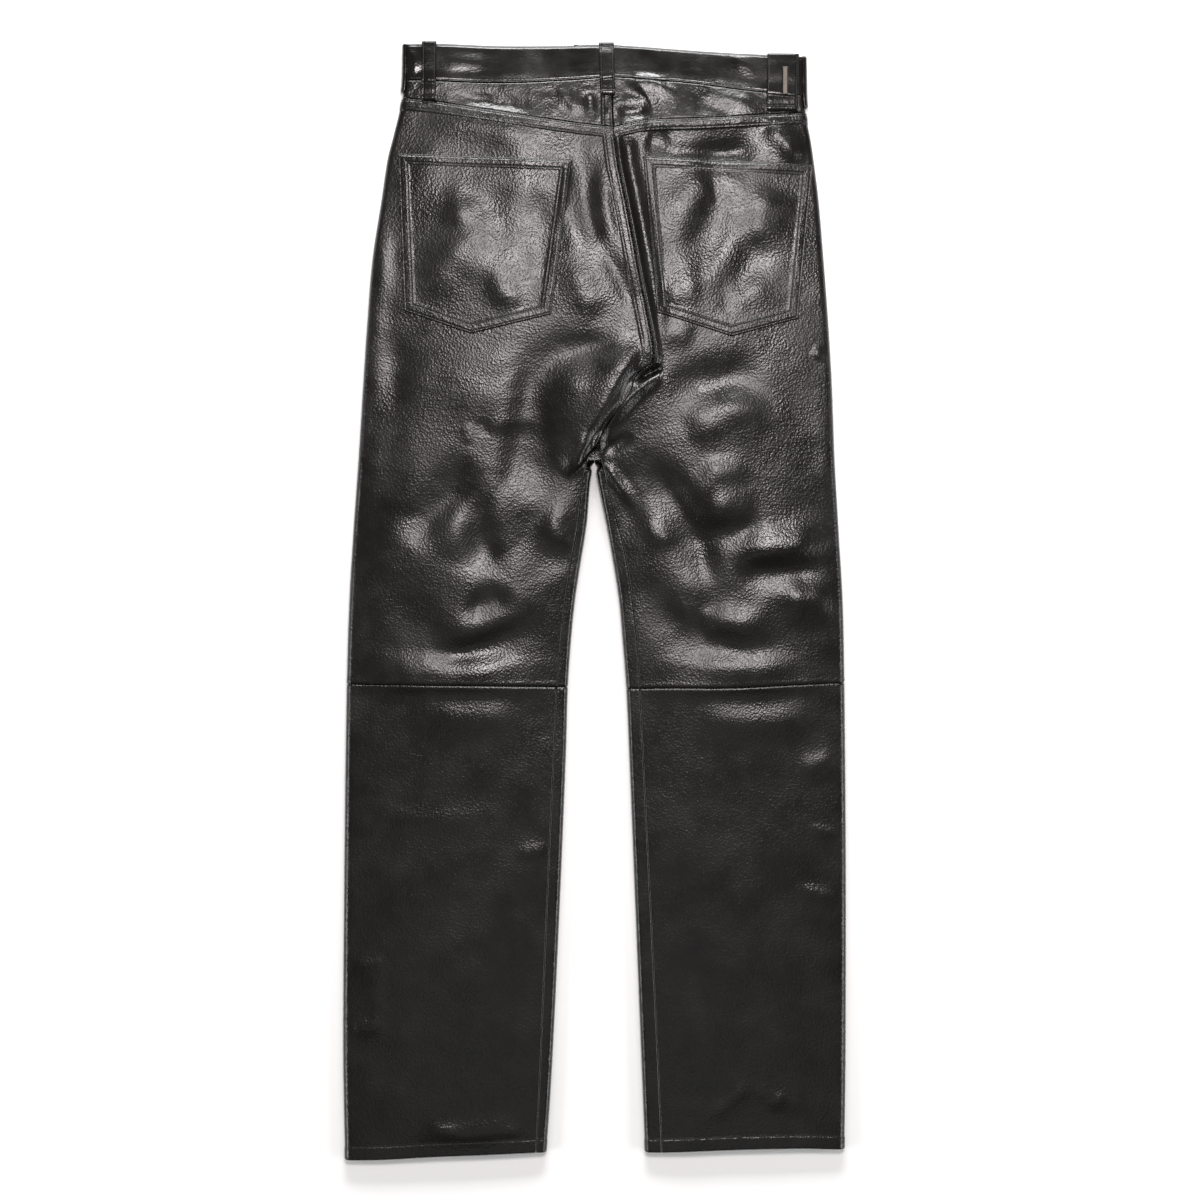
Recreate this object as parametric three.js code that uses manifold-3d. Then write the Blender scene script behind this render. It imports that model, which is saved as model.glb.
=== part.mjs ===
// Leather trousers of the five-pocket cut, laid flat on a table with the back side up.
// Millimetres, +Z up, +Y towards the waist, origin on the table in the middle of the outline.
// "down" is the distance below the top of the back belt loops, along -Y.
// "side" is -1 for the wearer's left half, at negative X, and +1 for the right half.
import * as THREE from "three";
import { mergeVertices } from "three/addons/utils/BufferGeometryUtils.js";
import Module from "manifold-3d";

const { lerp, clamp, smoothstep } = THREE.MathUtils;

// Sizes of the cloth and of its seams.
const LENGTH = 1082;
const LEATHER = 1.5;
const HEM_LEATHER = 2.8;
const HEM_DEPTH = 12;
const SEAM_GAP = 0.3;
// This near to a seam, rows keep their real distance from it, so that the gap is even.
const SEAM_EVEN = 1;
// A side fold turns over within this width, and the outseam lies this far in on the underside.
const ROLL = 6;
const INNER_ROLL = 4.5;
const OUTSEAM_IN = 16;
// The waistband is a thicker strip that stands proud of the panels, with an underlap at the front.
const BAND_LEATHER = 2.5;
const BAND_PROUD = 1;
const BAND_LIFT = 2.2;
const BAND_UNDERLAP = 32;
const UNDERLAP_RAMP = 22;
// The front rises to the waistband over this stretch, which makes room for loops and button.
const FRONT_RAMP = { from: 66, to: 135 };
// Named rows of the back, measured down the centre-back line.
const WAIST_ROW = 35;
const YOKE_ROW = 84.4;
const CROTCH_ROW = 408;
const KNEE_ROW = 624;
const HEM_ROW = 1074;
// No part of the top layer lies lower than this, so that the legs stay open tubes.
const LOWEST_TOP = 9;
const CROTCH_CURL = { from: 392, to: 408 };
const FRONT_EASE = 8;

// Rows of a short table with named columns.
function table(names, rows) {
  return rows.map((row) => Object.fromEntries(names.map((name, k) => [name, row[k]])));
}

// Outline of the cloth, without what the waistband and the loops add.
const OUTLINE = table(
  ["down", "left", "right"],
  [
    [0, -183.2, 202.4],
    [39, -183.8, 202.8],
    [57, -186.2, 203.2],
    [76, -190.6, 205.2],
    [95, -195.5, 209.0],
    [114, -200.3, 211.9],
    [153, -206.1, 216.8],
    [211, -214.9, 221.6],
    [270, -219.7, 226.0],
    [328, -223.6, 229.4],
    [405, -228.4, 232.3],
    [473, -233.3, 236.2],
    [541, -237.2, 240.1],
    [624, -239.8, 241.8],
    [784, -242.0, 243.2],
    [978, -243.2, 243.0],
    [1082, -241.4, 241.6],
  ],
);
// Where the back panels end above the crotch: the centre-back seam, then the fold into the crotch.
const CENTRE_BACK = table(
  ["down", "left", "right"],
  [
    [0, 17.0, 17.0],
    [53, 17.0, 17.0],
    [85, 17.9, 17.9],
    [120, 21.8, 21.8],
    [146, 27.2, 27.2],
    [181, 34.0, 34.0],
    [224, 41.9, 41.9],
    [277, 52.4, 52.4],
    [298, 56.0, 56.0],
    [312, 55.0, 55.0],
    [324, 46.0, 46.0],
    [345, 23.5, 23.5],
    [369, 11.5, 11.5],
    [380, 6.6, 7.4],
    [388, 2.6, 5.2],
    [400, -4.6, 5.8],
    [408, -7.2, 7.2],
  ],
);
const CENTRE_FRONT = table(
  ["down", "x"],
  [
    [0, 12],
    [200, 7],
    [300, 3],
    [408, -0.3],
  ],
);
// The inner edge of each leg, and the inseam that lies on the back a little way in from it.
const INNER_EDGE = table(
  ["down", "left", "right"],
  [
    [408, -1.2, 0.6],
    [428, -4.4, 3.9],
    [465, -7.3, 11.2],
    [502, -13.1, 17.9],
    [541, -18.9, 23.8],
    [580, -22.8, 27.2],
    [624, -25.7, 30.6],
    [687, -27.6, 33.5],
    [832, -33.5, 39.3],
    [1002, -41.7, 46.1],
    [1082, -47.3, 49.2],
  ],
);
const INSEAM = table(
  ["down", "left", "right"],
  [
    [408, -7.2, 7.2],
    [428, -11.6, 11.4],
    [465, -15.6, 21.8],
    [502, -22.3, 30.6],
    [541, -28.2, 36.4],
    [580, -32.5, 40.7],
    [624, -36.4, 43.4],
    [687, -39.3, 46.6],
    [832, -45.8, 53.8],
    [1002, -52.9, 62.0],
    [1082, -57.0, 65.5],
  ],
);
// Seam lines by how far out they lie: out is 0 at the centre back and 1 at the side.
const SEAM_LINES = {
  "-1": table(
    ["out", "top", "waist", "yoke", "knee", "hem"],
    [
      [0, 3.0, 35.0, 84.4, 623.8, 1074],
      [0.25, 3.9, 38.5, 78.0, 623.4, 1076],
      [0.54, 3.9, 40.7, 69.0, 622.8, 1078],
      [0.84, 2.0, 39.0, 59.5, 622.0, 1081],
      [1, 2.2, 37.8, 55.8, 621.4, 1081.6],
    ],
  ),
  1: table(
    ["out", "top", "waist", "yoke", "knee", "hem"],
    [
      [0, 3.0, 35.0, 84.4, 625.6, 1074],
      [0.16, 4.8, 36.6, 78.0, 625.2, 1073],
      [0.46, 8.8, 41.7, 75.7, 625.2, 1071],
      [0.8, 12.4, 49.5, 71.8, 622.0, 1070],
      [1, 14.2, 52.5, 69.6, 620.2, 1071],
    ],
  ),
};
// Height of the top layer at the side folds, and how much it rises between them.
const LOFT = table(
  ["down", "edge", "crown"],
  [
    [0, 12, 5],
    [60, 12, 6],
    [150, 13, 9],
    [300, 14, 10],
    [400, 13, 9],
    [520, 12, 8],
    [624, 11.5, 4.5],
    [760, 11, 3],
    [1082, 11, 2.5],
  ],
);
const SEAT_TO_LEG = { from: 330, to: 425 };
const CROWN_POWER = 2.5;

// Folds of the top layer: a line from start through middle to end, its rise or, if negative, its
// depth, and how far it falls off on the side towards the waist and on the side towards the hem.
const FOLDS = table(
  ["x0", "down0", "x1", "down1", "x2", "down2", "rise", "above", "below"],
  [
    // Left seat and thigh.
    [-77, 310, -20, 305, 30, 286, -3, 14, 20],
    [-36, 420, 2, 376, 34, 328, 4, 15, 9],
    [-52, 392, -30, 345, -8, 305, 3, 16, 14],
    [-181, 493, -150, 450, -109, 403, -6, 20, 13],
    [-140, 505, -122, 465, -97, 420, 4, 16, 16],
    [-96, 424, -112, 470, -83, 526, -7, 11, 16],
    [-128, 541, -102, 545, -80, 526, -5, 11, 15],
    [-162, 580, -105, 566, -46, 532, 5, 16, 11],
    [-165, 590, -110, 584, -46, 550, -5, 11, 14],
    [-228, 606, -150, 611, -70, 601, 3.5, 12, 12],
    [-46, 446, -34, 470, -44, 500, 3, 12, 12],
    // Right seat, flap beside the crotch and thigh.
    [47, 97, 60, 99, 76, 94, -3, 12, 10],
    [3, 396, 20, 357, 66, 322, 5, 9, 9],
    [14, 398, 40, 372, 70, 336, -6, 9, 12],
    [68, 327, 115, 328, 168, 316, -4, 12, 18],
    [84, 376, 120, 362, 168, 344, 4, 16, 16],
    [30, 396, 84, 455, 106, 530, -8, 12, 17],
    [92, 552, 104, 543, 106, 526, -4, 12, 14],
    [98, 410, 122, 436, 138, 468, 4, 18, 18],
    [91, 486, 128, 476, 170, 464, -4, 10, 10],
    [130, 501, 180, 492, 229, 478, 6, 16, 10],
    [128, 513, 180, 511, 229, 508, -5, 10, 13],
    [178, 544, 205, 541, 232, 532, 3, 12, 12],
    [45, 510, 96, 570, 188, 580, -6, 12, 15],
    [100, 549, 134, 568, 176, 564, 4, 14, 12],
    [92, 596, 145, 606, 200, 604, 3, 12, 12],
    // Below the knees.
    [-164, 641, -118, 651, -74, 643, 2, 10, 12],
    [90, 640, 150, 655, 214, 641, 2, 10, 12],
  ],
);
const FOLD_STEPS = 12;
// The right seat rolls over beside the centre-back seam, with a valley beyond the roll.
const SEAT_ROLL = { start: 88, full: 106, fade: 304, end: 330, rise: 5, off: 6, dip: 3, dipOff: 18, width: 6.5 };

// Back pockets, corner by corner as x and down: top inner, top outer, bottom outer, point, bottom inner.
const POCKETS = {
  "-1": [
    [-21.3, 116.4],
    [-189.6, 109.1],
    [-183.5, 261.3],
    [-119.0, 283.6],
    [-41.8, 265.1],
  ],
  1: [
    [46.8, 112.4],
    [211.0, 120.0],
    [196.4, 268.7],
    [132.0, 286.2],
    [60.0, 263.2],
  ],
};
const POCKET_LEATHER = 1.6;

// Belt loops on the back: middle, half width and the two ends.
const LOOP_LEATHER = 1.6;
const LOOP_CLEARANCE = 2.4;
const LOOPS = [
  { name: "belt_loop_centre_back", x: 11.4, half: 7.3, top: 1.2, bottom: 53.5, lean: 1.4 },
  { name: "belt_loop_back_left", x: -159.8, half: 7, top: 0, bottom: 58.5, lean: 0 },
];
const WIDE_LOOP = { name: "belt_loop_wide_right", x: 182.3, half: 15.4, top: 12, bottom: 68.5, lean: -1.5 };
// The front loops lie round the side folds: from this share of the turn to this far in below.
const SIDE_LOOP = { start: 0.2, below: 7, clearance: 0.35, bottomPast: 12 };
const BAR = { x: 183.8, down: 39.5, width: 5.8, length: 27.6, thickness: 1.8, bevel: 0.5 };
const BUTTON = { radius: 8.5, thickness: 1.8, down: 20, rim: 0.9, dish: 0.5 };
const SHIELD = { past: 14, before: 28, from: 40.5, to: 205, clearance: 0.5 };

// Across the top of a back panel, as a share of its width. The columns crowd at the centre back.
const ACROSS_UPPER = [0, 0.033, 0.066, 0.1, 0.17, 0.26, 0.36, 0.46, 0.56, 0.67, 0.78, 0.9, 1];
const ACROSS_LOWER = [0, 0.15, 0.32, 0.5, 0.68, 0.85, 1];

const leather = new THREE.MeshStandardMaterial({ color: 0x1d1b1a, roughness: 0.42, metalness: 0 });
const steel = new THREE.MeshStandardMaterial({ color: 0xa9a7a3, roughness: 0.35, metalness: 1 });

const wasm = await Module();
wasm.setup();

// Evenly spaced values from one number to another, both included.
function evenly(from, to, steps) {
  return Array.from({ length: steps + 1 }, (_, k) => lerp(from, to, k / steps));
}

const range = (count) => Array.from({ length: count }, (_, k) => k);

// Joins runs of stations that share their end values.
function chain(...runs) {
  return runs.flatMap((run, k) => (k === 0 ? run : run.slice(1)));
}

// A column of a table at any place, as a smooth curve through its rows.
function look(rows, column, at, by = "down") {
  const last = rows.length - 1;
  if (at <= rows[0][by]) return rows[0][column];
  if (at >= rows[last][by]) return rows[last][column];
  let k = 0;
  while (rows[k + 1][by] < at) k += 1;
  const slope = (row) => {
    const before = rows[Math.max(row - 1, 0)];
    const after = rows[Math.min(row + 1, last)];
    return (after[column] - before[column]) / (after[by] - before[by]);
  };
  const width = rows[k + 1][by] - rows[k][by];
  const t = (at - rows[k][by]) / width;
  const start = rows[k][column];
  const end = rows[k + 1][column];
  const leave = slope(k) * width;
  const arrive = slope(k + 1) * width;
  const square = 3 * (end - start) - 2 * leave - arrive;
  const cube = 2 * (start - end) + leave + arrive;
  return start + t * (leave + t * (square + t * cube));
}

const half = (side) => (side < 0 ? "left" : "right");
const outerEdge = (side, down) => look(OUTLINE, half(side), down);
const sideTurn = (side, down) => outerEdge(side, down) - side * ROLL;
const innerEdge = (side, down) => look(INNER_EDGE, half(side), down);
const inseam = (side, down) => look(INSEAM, half(side), down);
const centreFront = (down) => look(CENTRE_FRONT, "x", down);

// The line where a back panel ends towards the middle: centre back, then inseam.
function backInner(side, down) {
  return down < CROTCH_ROW ? look(CENTRE_BACK, half(side), down) : inseam(side, down);
}

// One fold's rise at a place. It is nil at both ends and falls off softly on either side.
function foldRise(fold, x, down) {
  const bendX = 2 * fold.x1 - (fold.x0 + fold.x2) / 2;
  const bendDown = 2 * fold.down1 - (fold.down0 + fold.down2) / 2;
  let best = { distance: Infinity, along: 0, width: fold.above };
  for (let k = 0; k <= FOLD_STEPS; k += 1) {
    const t = k / FOLD_STEPS;
    const s = 1 - t;
    const offX = x - (s * s * fold.x0 + 2 * s * t * bendX + t * t * fold.x2);
    const offDown = down - (s * s * fold.down0 + 2 * s * t * bendDown + t * t * fold.down2);
    const runX = 2 * s * (bendX - fold.x0) + 2 * t * (fold.x2 - bendX);
    const runDown = 2 * s * (bendDown - fold.down0) + 2 * t * (fold.down2 - bendDown);
    const distance = Math.hypot(offX, offDown);
    const below = runX * offDown - runDown * offX > 0;
    if (distance < best.distance) best = { distance, along: t, width: below ? fold.below : fold.above };
  }
  const taper = Math.sqrt(Math.max(0, 4 * best.along * (1 - best.along)));
  return fold.rise * taper * Math.exp(-((best.distance / best.width) ** 2));
}

// The rolled ridge and the valley right of the centre-back seam.
function seatRoll(side, x, down) {
  if (side < 0) return 0;
  const run = smoothstep(down, SEAT_ROLL.start, SEAT_ROLL.full) * (1 - smoothstep(down, SEAT_ROLL.fade, SEAT_ROLL.end));
  const off = x - backInner(side, down);
  const ridge = SEAT_ROLL.rise * Math.exp(-(((off - SEAT_ROLL.off) / SEAT_ROLL.width) ** 2));
  const valley = SEAT_ROLL.dip * Math.exp(-(((off - SEAT_ROLL.dipOff) / SEAT_ROLL.width) ** 2));
  return run * (ridge - valley);
}

// Height of the top layer: the loft of a seat or a leg, and the folds on it.
function topHeight(side, x, down) {
  const edge = look(LOFT, "edge", down);
  const crown = look(LOFT, "crown", down);
  const crowned = (from, to) => {
    const off = clamp(Math.abs((2 * x - from - to) / (to - from)), 0, 1);
    return edge + crown * (1 - off ** CROWN_POWER);
  };
  const seat = crowned(outerEdge(-1, down), outerEdge(1, down));
  const leg = crowned(innerEdge(side, down), outerEdge(side, down));
  const loft = lerp(seat, leg, smoothstep(down, SEAT_TO_LEG.from, SEAT_TO_LEG.to));
  const folds = FOLDS.reduce((sum, fold) => sum + foldRise(fold, x, down), 0);
  const over = loft + folds + seatRoll(side, x, down) - LOWEST_TOP;
  return LOWEST_TOP + (over + Math.hypot(over, 1)) / 2;
}

// Height of the underside, which lies on the table below the front ramp.
function lowHeight(down) {
  return (BAND_LIFT + BAND_PROUD) * (1 - smoothstep(down, FRONT_RAMP.from, FRONT_RAMP.to));
}

// How far down a row lies at a share of the width, so that rows follow the seams.
function rowDown(side, out, row) {
  const line = (name) => look(SEAM_LINES[side], name, clamp(out, 0, 1), "out");
  if (row <= WAIST_ROW) return lerp(line("top"), line("waist"), row / WAIST_ROW);
  if (row <= YOKE_ROW) {
    const share = (row - WAIST_ROW - SEAM_EVEN) / (YOKE_ROW - WAIST_ROW - 2 * SEAM_EVEN);
    if (share <= 0) return line("waist") + row - WAIST_ROW;
    if (share >= 1) return line("yoke") + row - YOKE_ROW;
    return lerp(line("waist") + SEAM_EVEN, line("yoke") - SEAM_EVEN, share);
  }
  const yoke = (line("yoke") - YOKE_ROW) * (1 - smoothstep(row, YOKE_ROW, 210));
  const knee = (line("knee") - KNEE_ROW) * smoothstep(row, 540, KNEE_ROW) * (1 - smoothstep(row, KNEE_ROW, 710));
  const hem = (line("hem") - HEM_ROW) * smoothstep(row, 940, HEM_ROW);
  return row + yoke + knee + hem;
}

const place = (x, down, z) => new THREE.Vector3(x, LENGTH / 2 - down, z);

// A back panel's outer surface. across is 0 to 1 over the top, 1 to 2 round the side fold, and 2 to 3
// on the underside, as far as the outseam.
function backPoint(side) {
  return (across, row) => {
    const down = rowDown(side, across, row);
    const outer = outerEdge(side, down);
    const turn = sideTurn(side, down);
    const low = lowHeight(down);
    if (across <= 1) {
      const x = lerp(backInner(side, down) + (side * SEAM_GAP) / 2, turn, across);
      return place(x, down, topHeight(side, x, down));
    }
    if (across <= 2) {
      const top = topHeight(side, turn, down);
      const angle = (across - 1) * Math.PI;
      const x = turn + side * ROLL * Math.sin(angle);
      return place(x, down, (top + low) / 2 + ((top - low) / 2) * Math.cos(angle));
    }
    return place(outer - side * lerp(ROLL, OUTSEAM_IN - SEAM_GAP / 2, across - 2), down, low);
  };
}

// A front panel's outer surface. across is 0 to 1 on the table from the outseam inwards, 1 to 2 round
// the inner side of the leg, and 2 to 3 on top as far as the inseam. Above the crotch the last two
// stretches lie flat and end at the centre front.
function frontPoint(side) {
  return (across, row) => {
    const down = rowDown(side, 1 - across, row);
    const low = lowHeight(down);
    const curl = clamp((down - CROTCH_CURL.from) / (CROTCH_CURL.to - CROTCH_CURL.from), 0, 1);
    const edge = innerEdge(side, down);
    const seam = inseam(side, down) - (side * SEAM_GAP) / 2;
    const turn = edge + side * Math.min(INNER_ROLL, 0.7 * Math.abs(seam - edge));
    const end = centreFront(down) + (side * SEAM_GAP) / 2;
    if (across <= 1) {
      const start = outerEdge(side, down) - side * (OUTSEAM_IN + SEAM_GAP / 2);
      return place(lerp(start, lerp(end + side * FRONT_EASE, turn, curl), across), down, low);
    }
    const flat = place(end + (side * FRONT_EASE * (3 - across)) / 2, down, low);
    let curled;
    if (across <= 2) {
      const top = topHeight(side, turn, down);
      const angle = (across - 1) * Math.PI;
      const x = turn + (edge - turn) * Math.sin(angle);
      curled = place(x, down, (top + low) / 2 - ((top - low) / 2) * Math.cos(angle));
    } else {
      const x = lerp(turn, seam, across - 2);
      curled = place(x, down, topHeight(side, x, down));
    }
    return flat.lerp(curled, curl);
  };
}

// The share of the width at a place on the underside, as the front panels count it.
function underShare(side, x, down) {
  const inner = centreFront(down) + side * FRONT_EASE;
  const outer = outerEdge(side, down) - side * OUTSEAM_IN;
  return clamp((x - inner) / (outer - inner), 0, 1);
}

// The waistband's outer surface, as one strip: under the left front from the centre front, over the
// left side, across the back, over the right side and back below, where its end slips inside.
function bandPoint(across, row) {
  const middle = centreFront(0);
  const round = (side, angle) => {
    const down = rowDown(side, 1, row);
    const turn = sideTurn(side, down);
    const top = topHeight(side, turn, down) + BAND_PROUD;
    const x = turn + side * (ROLL + BAND_PROUD) * Math.sin(angle);
    return place(x, down, (top + BAND_LIFT) / 2 + ((top - BAND_LIFT) / 2) * Math.cos(angle));
  };
  const over = (side, share) => {
    const down = rowDown(side, share, row);
    const x = lerp(backInner(side, down), sideTurn(side, down), share);
    return place(x, down, topHeight(side, x, down) + BAND_PROUD);
  };
  const under = (side, end, share) => {
    const near = lerp(end, sideTurn(side, 0), share);
    const down = rowDown(side, underShare(side, near, 0), row);
    const x = lerp(end, sideTurn(side, down), share);
    const slip = side < 0 ? 0 : 1 - smoothstep(x, middle + 4, middle + 4 + UNDERLAP_RAMP);
    const lift = slip * (BAND_LEATHER + SEAM_GAP);
    return place(x, down, BAND_LIFT + lift);
  };
  if (across <= 1) return under(-1, middle, across);
  if (across <= 2) return round(-1, (2 - across) * Math.PI);
  if (across <= 3) return over(-1, 3 - across);
  if (across <= 4) return over(1, across - 3);
  if (across <= 5) return round(1, (across - 4) * Math.PI);
  return under(1, middle - BAND_UNDERLAP, 6 - across);
}

// Unit normal of a surface, by small steps to either side.
function normalAt(pointAt, across, row, facing) {
  const step = 0.004;
  const reach = 0.4;
  const alongAcross = pointAt(across + step, row).sub(pointAt(across - step, row));
  const alongRow = pointAt(across, row + reach).sub(pointAt(across, row - reach));
  return alongAcross.cross(alongRow).normalize().multiplyScalar(facing);
}

// A closed wall on a surface: its outer and inner faces, and the rim all round. outside and inside
// are how far the two faces lie from the surface, along its normal.
function wall(pointAt, acrosses, rows, { facing, outside = 0, inside = () => -LEATHER }) {
  const columns = acrosses.length;
  const count = columns * rows.length;
  const positions = new Float32Array(2 * count * 3);
  rows.forEach((row, j) => {
    acrosses.forEach((across, i) => {
      const normal = normalAt(pointAt, across, row, facing);
      const at = pointAt(across, row);
      const k = j * columns + i;
      at.clone().addScaledVector(normal, outside).toArray(positions, 3 * k);
      at.addScaledVector(normal, inside(across, row)).toArray(positions, 3 * (k + count));
    });
  });
  const index = [];
  for (let j = 0; j + 1 < rows.length; j += 1) {
    for (let i = 0; i + 1 < columns; i += 1) {
      const a = j * columns + i;
      const b = a + 1;
      const c = b + columns;
      const d = a + columns;
      index.push(a, b, c, a, c, d);
      index.push(a + count, c + count, b + count, a + count, d + count, c + count);
    }
  }
  const lastRow = (rows.length - 1) * columns;
  const border = [
    ...range(columns),
    ...range(rows.length - 1).map((j) => (j + 1) * columns + columns - 1),
    ...range(columns - 1).map((i) => lastRow + columns - 2 - i),
    ...range(rows.length - 2).map((j) => lastRow - (j + 1) * columns),
  ];
  border.forEach((p, k) => {
    const q = border[(k + 1) % border.length];
    index.push(q, p, p + count, q, p + count, q + count);
  });
  return facedOut(positions, index);
}

// An indexed geometry whose faces point outwards.
function facedOut(positions, index) {
  let volume = 0;
  const corner = (k) => new THREE.Vector3().fromArray(positions, 3 * index[k]);
  for (let k = 0; k < index.length; k += 3) {
    volume += corner(k).dot(corner(k + 1).cross(corner(k + 2)));
  }
  if (volume < 0) index.reverse();
  const geometry = new THREE.BufferGeometry();
  geometry.setAttribute("position", new THREE.BufferAttribute(new Float32Array(positions), 3));
  geometry.setIndex(index);
  return geometry;
}

function toSolid(geometry) {
  const bare = new THREE.BufferGeometry().setAttribute("position", geometry.getAttribute("position"));
  bare.setIndex(geometry.index);
  const merged = mergeVertices(bare, 1e-3);
  const triVerts = new Uint32Array(merged.index.array);
  const vertProperties = merged.attributes.position.array;
  return new wasm.Manifold(new wasm.Mesh({ numProp: 3, vertProperties, triVerts }));
}

function toGeometry(solid) {
  const mesh = solid.getMesh();
  return facedOut(mesh.vertProperties, Array.from(mesh.triVerts));
}

// Stations of the panels.
const UNDER_SHARES = evenly(0, 1, 4);
const SIDE_TURN = evenly(1, 2, 4);
const YOKE_STATIONS = evenly(WAIST_ROW + SEAM_GAP / 2, YOKE_ROW - SEAM_GAP / 2, 3);
const UPPER_STATIONS = chain(
  evenly(YOKE_ROW + SEAM_GAP / 2, 296, 11),
  evenly(296, 344, 4),
  evenly(344, CROTCH_CURL.from, 3),
  evenly(CROTCH_CURL.from, CROTCH_CURL.to, 2),
  evenly(CROTCH_CURL.to, KNEE_ROW - SEAM_GAP / 2, 12),
);
const LOWER_STATIONS = chain(
  evenly(KNEE_ROW + SEAM_GAP / 2, 690, 3),
  evenly(690, HEM_ROW - HEM_DEPTH - 1, 5),
  evenly(HEM_ROW - HEM_DEPTH - 1, HEM_ROW - HEM_DEPTH, 1),
  evenly(HEM_ROW - HEM_DEPTH, HEM_ROW, 1),
);
const hemInside = (_, row) => -(row > HEM_ROW - HEM_DEPTH - 0.5 ? HEM_LEATHER : LEATHER);

function yoke(side) {
  return wall(backPoint(side), chain(ACROSS_UPPER, SIDE_TURN, [2, 3]), YOKE_STATIONS, { facing: -side });
}

function backLegUpper(side) {
  return wall(backPoint(side), chain(ACROSS_UPPER, SIDE_TURN, [2, 3]), UPPER_STATIONS, { facing: -side });
}

function backLegLower(side) {
  const acrosses = chain(ACROSS_LOWER, SIDE_TURN, [2, 3]);
  return wall(backPoint(side), acrosses, LOWER_STATIONS, { facing: -side, inside: hemInside });
}

function frontLegUpper(side) {
  const acrosses = chain(UNDER_SHARES, SIDE_TURN, [2, 3]);
  const rows = [...YOKE_STATIONS.slice(0, -1), ...UPPER_STATIONS];
  return wall(frontPoint(side), acrosses, rows, { facing: -side });
}

function frontLegLower(side) {
  const acrosses = chain(UNDER_SHARES, SIDE_TURN, [2, 3]);
  return wall(frontPoint(side), acrosses, LOWER_STATIONS, { facing: -side, inside: hemInside });
}

// Where the waistband's underside has its columns: those of the front panel, and the underlap's ramp.
function underStations(side, end) {
  const inner = centreFront(0) + side * FRONT_EASE;
  const outer = outerEdge(side, 0) - side * OUTSEAM_IN;
  const ramp = side < 0 ? [] : evenly(inner - 4, inner - 4 + UNDERLAP_RAMP, 3);
  const places = [end, ...UNDER_SHARES.map((share) => lerp(inner, outer, share)), ...ramp, sideTurn(side, 0)];
  const shares = places.map((x) => (x - end) / (sideTurn(side, 0) - end));
  return shares.sort((a, b) => a - b);
}

function waistband() {
  const middle = centreFront(0);
  const acrosses = chain(
    underStations(-1, middle),
    SIDE_TURN,
    ACROSS_UPPER.map((share) => 3 - share).reverse(),
    ACROSS_UPPER.map((share) => 3 + share),
    evenly(4, 5, 4),
    underStations(1, middle - BAND_UNDERLAP).map((share) => 6 - share).reverse(),
  );
  const rows = evenly(0, WAIST_ROW - SEAM_GAP / 2, 2);
  return wall(bandPoint, acrosses, rows, { facing: -1, inside: () => -BAND_LEATHER });
}

// A pocket lies on its panel: the panel's own faces, moved out, inside the pocket's outline.
function backPocket(side) {
  const rows = UPPER_STATIONS.filter((row) => row < 300);
  const shell = wall(backPoint(side), ACROSS_UPPER, rows, {
    facing: -side,
    outside: SEAM_GAP + POCKET_LEATHER,
    inside: () => SEAM_GAP,
  });
  const corners = POCKETS[side].map(([x, down]) => new THREE.Vector2(x, LENGTH / 2 - down));
  const prism = new THREE.ExtrudeGeometry(new THREE.Shape(corners), { depth: 80, bevelEnabled: false });
  prism.translate(0, 0, -5);
  return toGeometry(toSolid(shell).intersect(toSolid(prism)));
}

// Height of what a back loop lies on: the waistband above its seam and the yoke below it.
function loopSeat(x, down) {
  const side = x < CENTRE_BACK[0].left ? -1 : 1;
  const share = (x - CENTRE_BACK[0].left) / (sideTurn(side, down) - CENTRE_BACK[0].left);
  const onBand = down < rowDown(side, share, WAIST_ROW) + 2;
  return topHeight(side, x, down) + (onBand ? BAND_PROUD : 0);
}

// A belt loop: its two ends lie on the cloth, and its middle stands clear for a belt.
function loopPoint(loop) {
  return (across, row) => {
    const down = lerp(loop.top, loop.bottom, row);
    const x = loop.x + loop.lean * row + across * loop.half;
    const arch = smoothstep(row, 0.04, 0.24) * (1 - smoothstep(row, 0.76, 0.95));
    return place(x, down, loopSeat(x, down) + 0.4 + LOOP_CLEARANCE * arch);
  };
}

function beltLoop(loop) {
  return wall(loopPoint(loop), evenly(-1, 1, 2), evenly(0, 1, 12), {
    facing: -1,
    outside: LOOP_LEATHER,
    inside: () => 0,
  });
}

// A front loop, round the fold of the waistband at one side.
function sideLoop(side) {
  const top = rowDown(side, 1, 0);
  const bottom = rowDown(side, 1, WAIST_ROW) + SIDE_LOOP.bottomPast;
  const radius = ROLL + BAND_PROUD + SIDE_LOOP.clearance;
  const pointAt = (across, row) => {
    const down = lerp(top, bottom, row);
    const turn = sideTurn(side, down);
    const high = topHeight(side, turn, down) + BAND_PROUD;
    const middle = (high + BAND_LIFT) / 2;
    const rise = (high - BAND_LIFT) / 2 + SIDE_LOOP.clearance;
    if (across > 1) return place(turn - side * SIDE_LOOP.below * (across - 1), down, middle - rise);
    const angle = across * Math.PI;
    return place(turn + side * radius * Math.sin(angle), down, middle + rise * Math.cos(angle));
  };
  return wall(pointAt, chain(evenly(SIDE_LOOP.start, 1, 5), [1, 2]), evenly(0, 1, 4), {
    facing: -side,
    outside: LOOP_LEATHER,
    inside: () => 0,
  });
}

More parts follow.
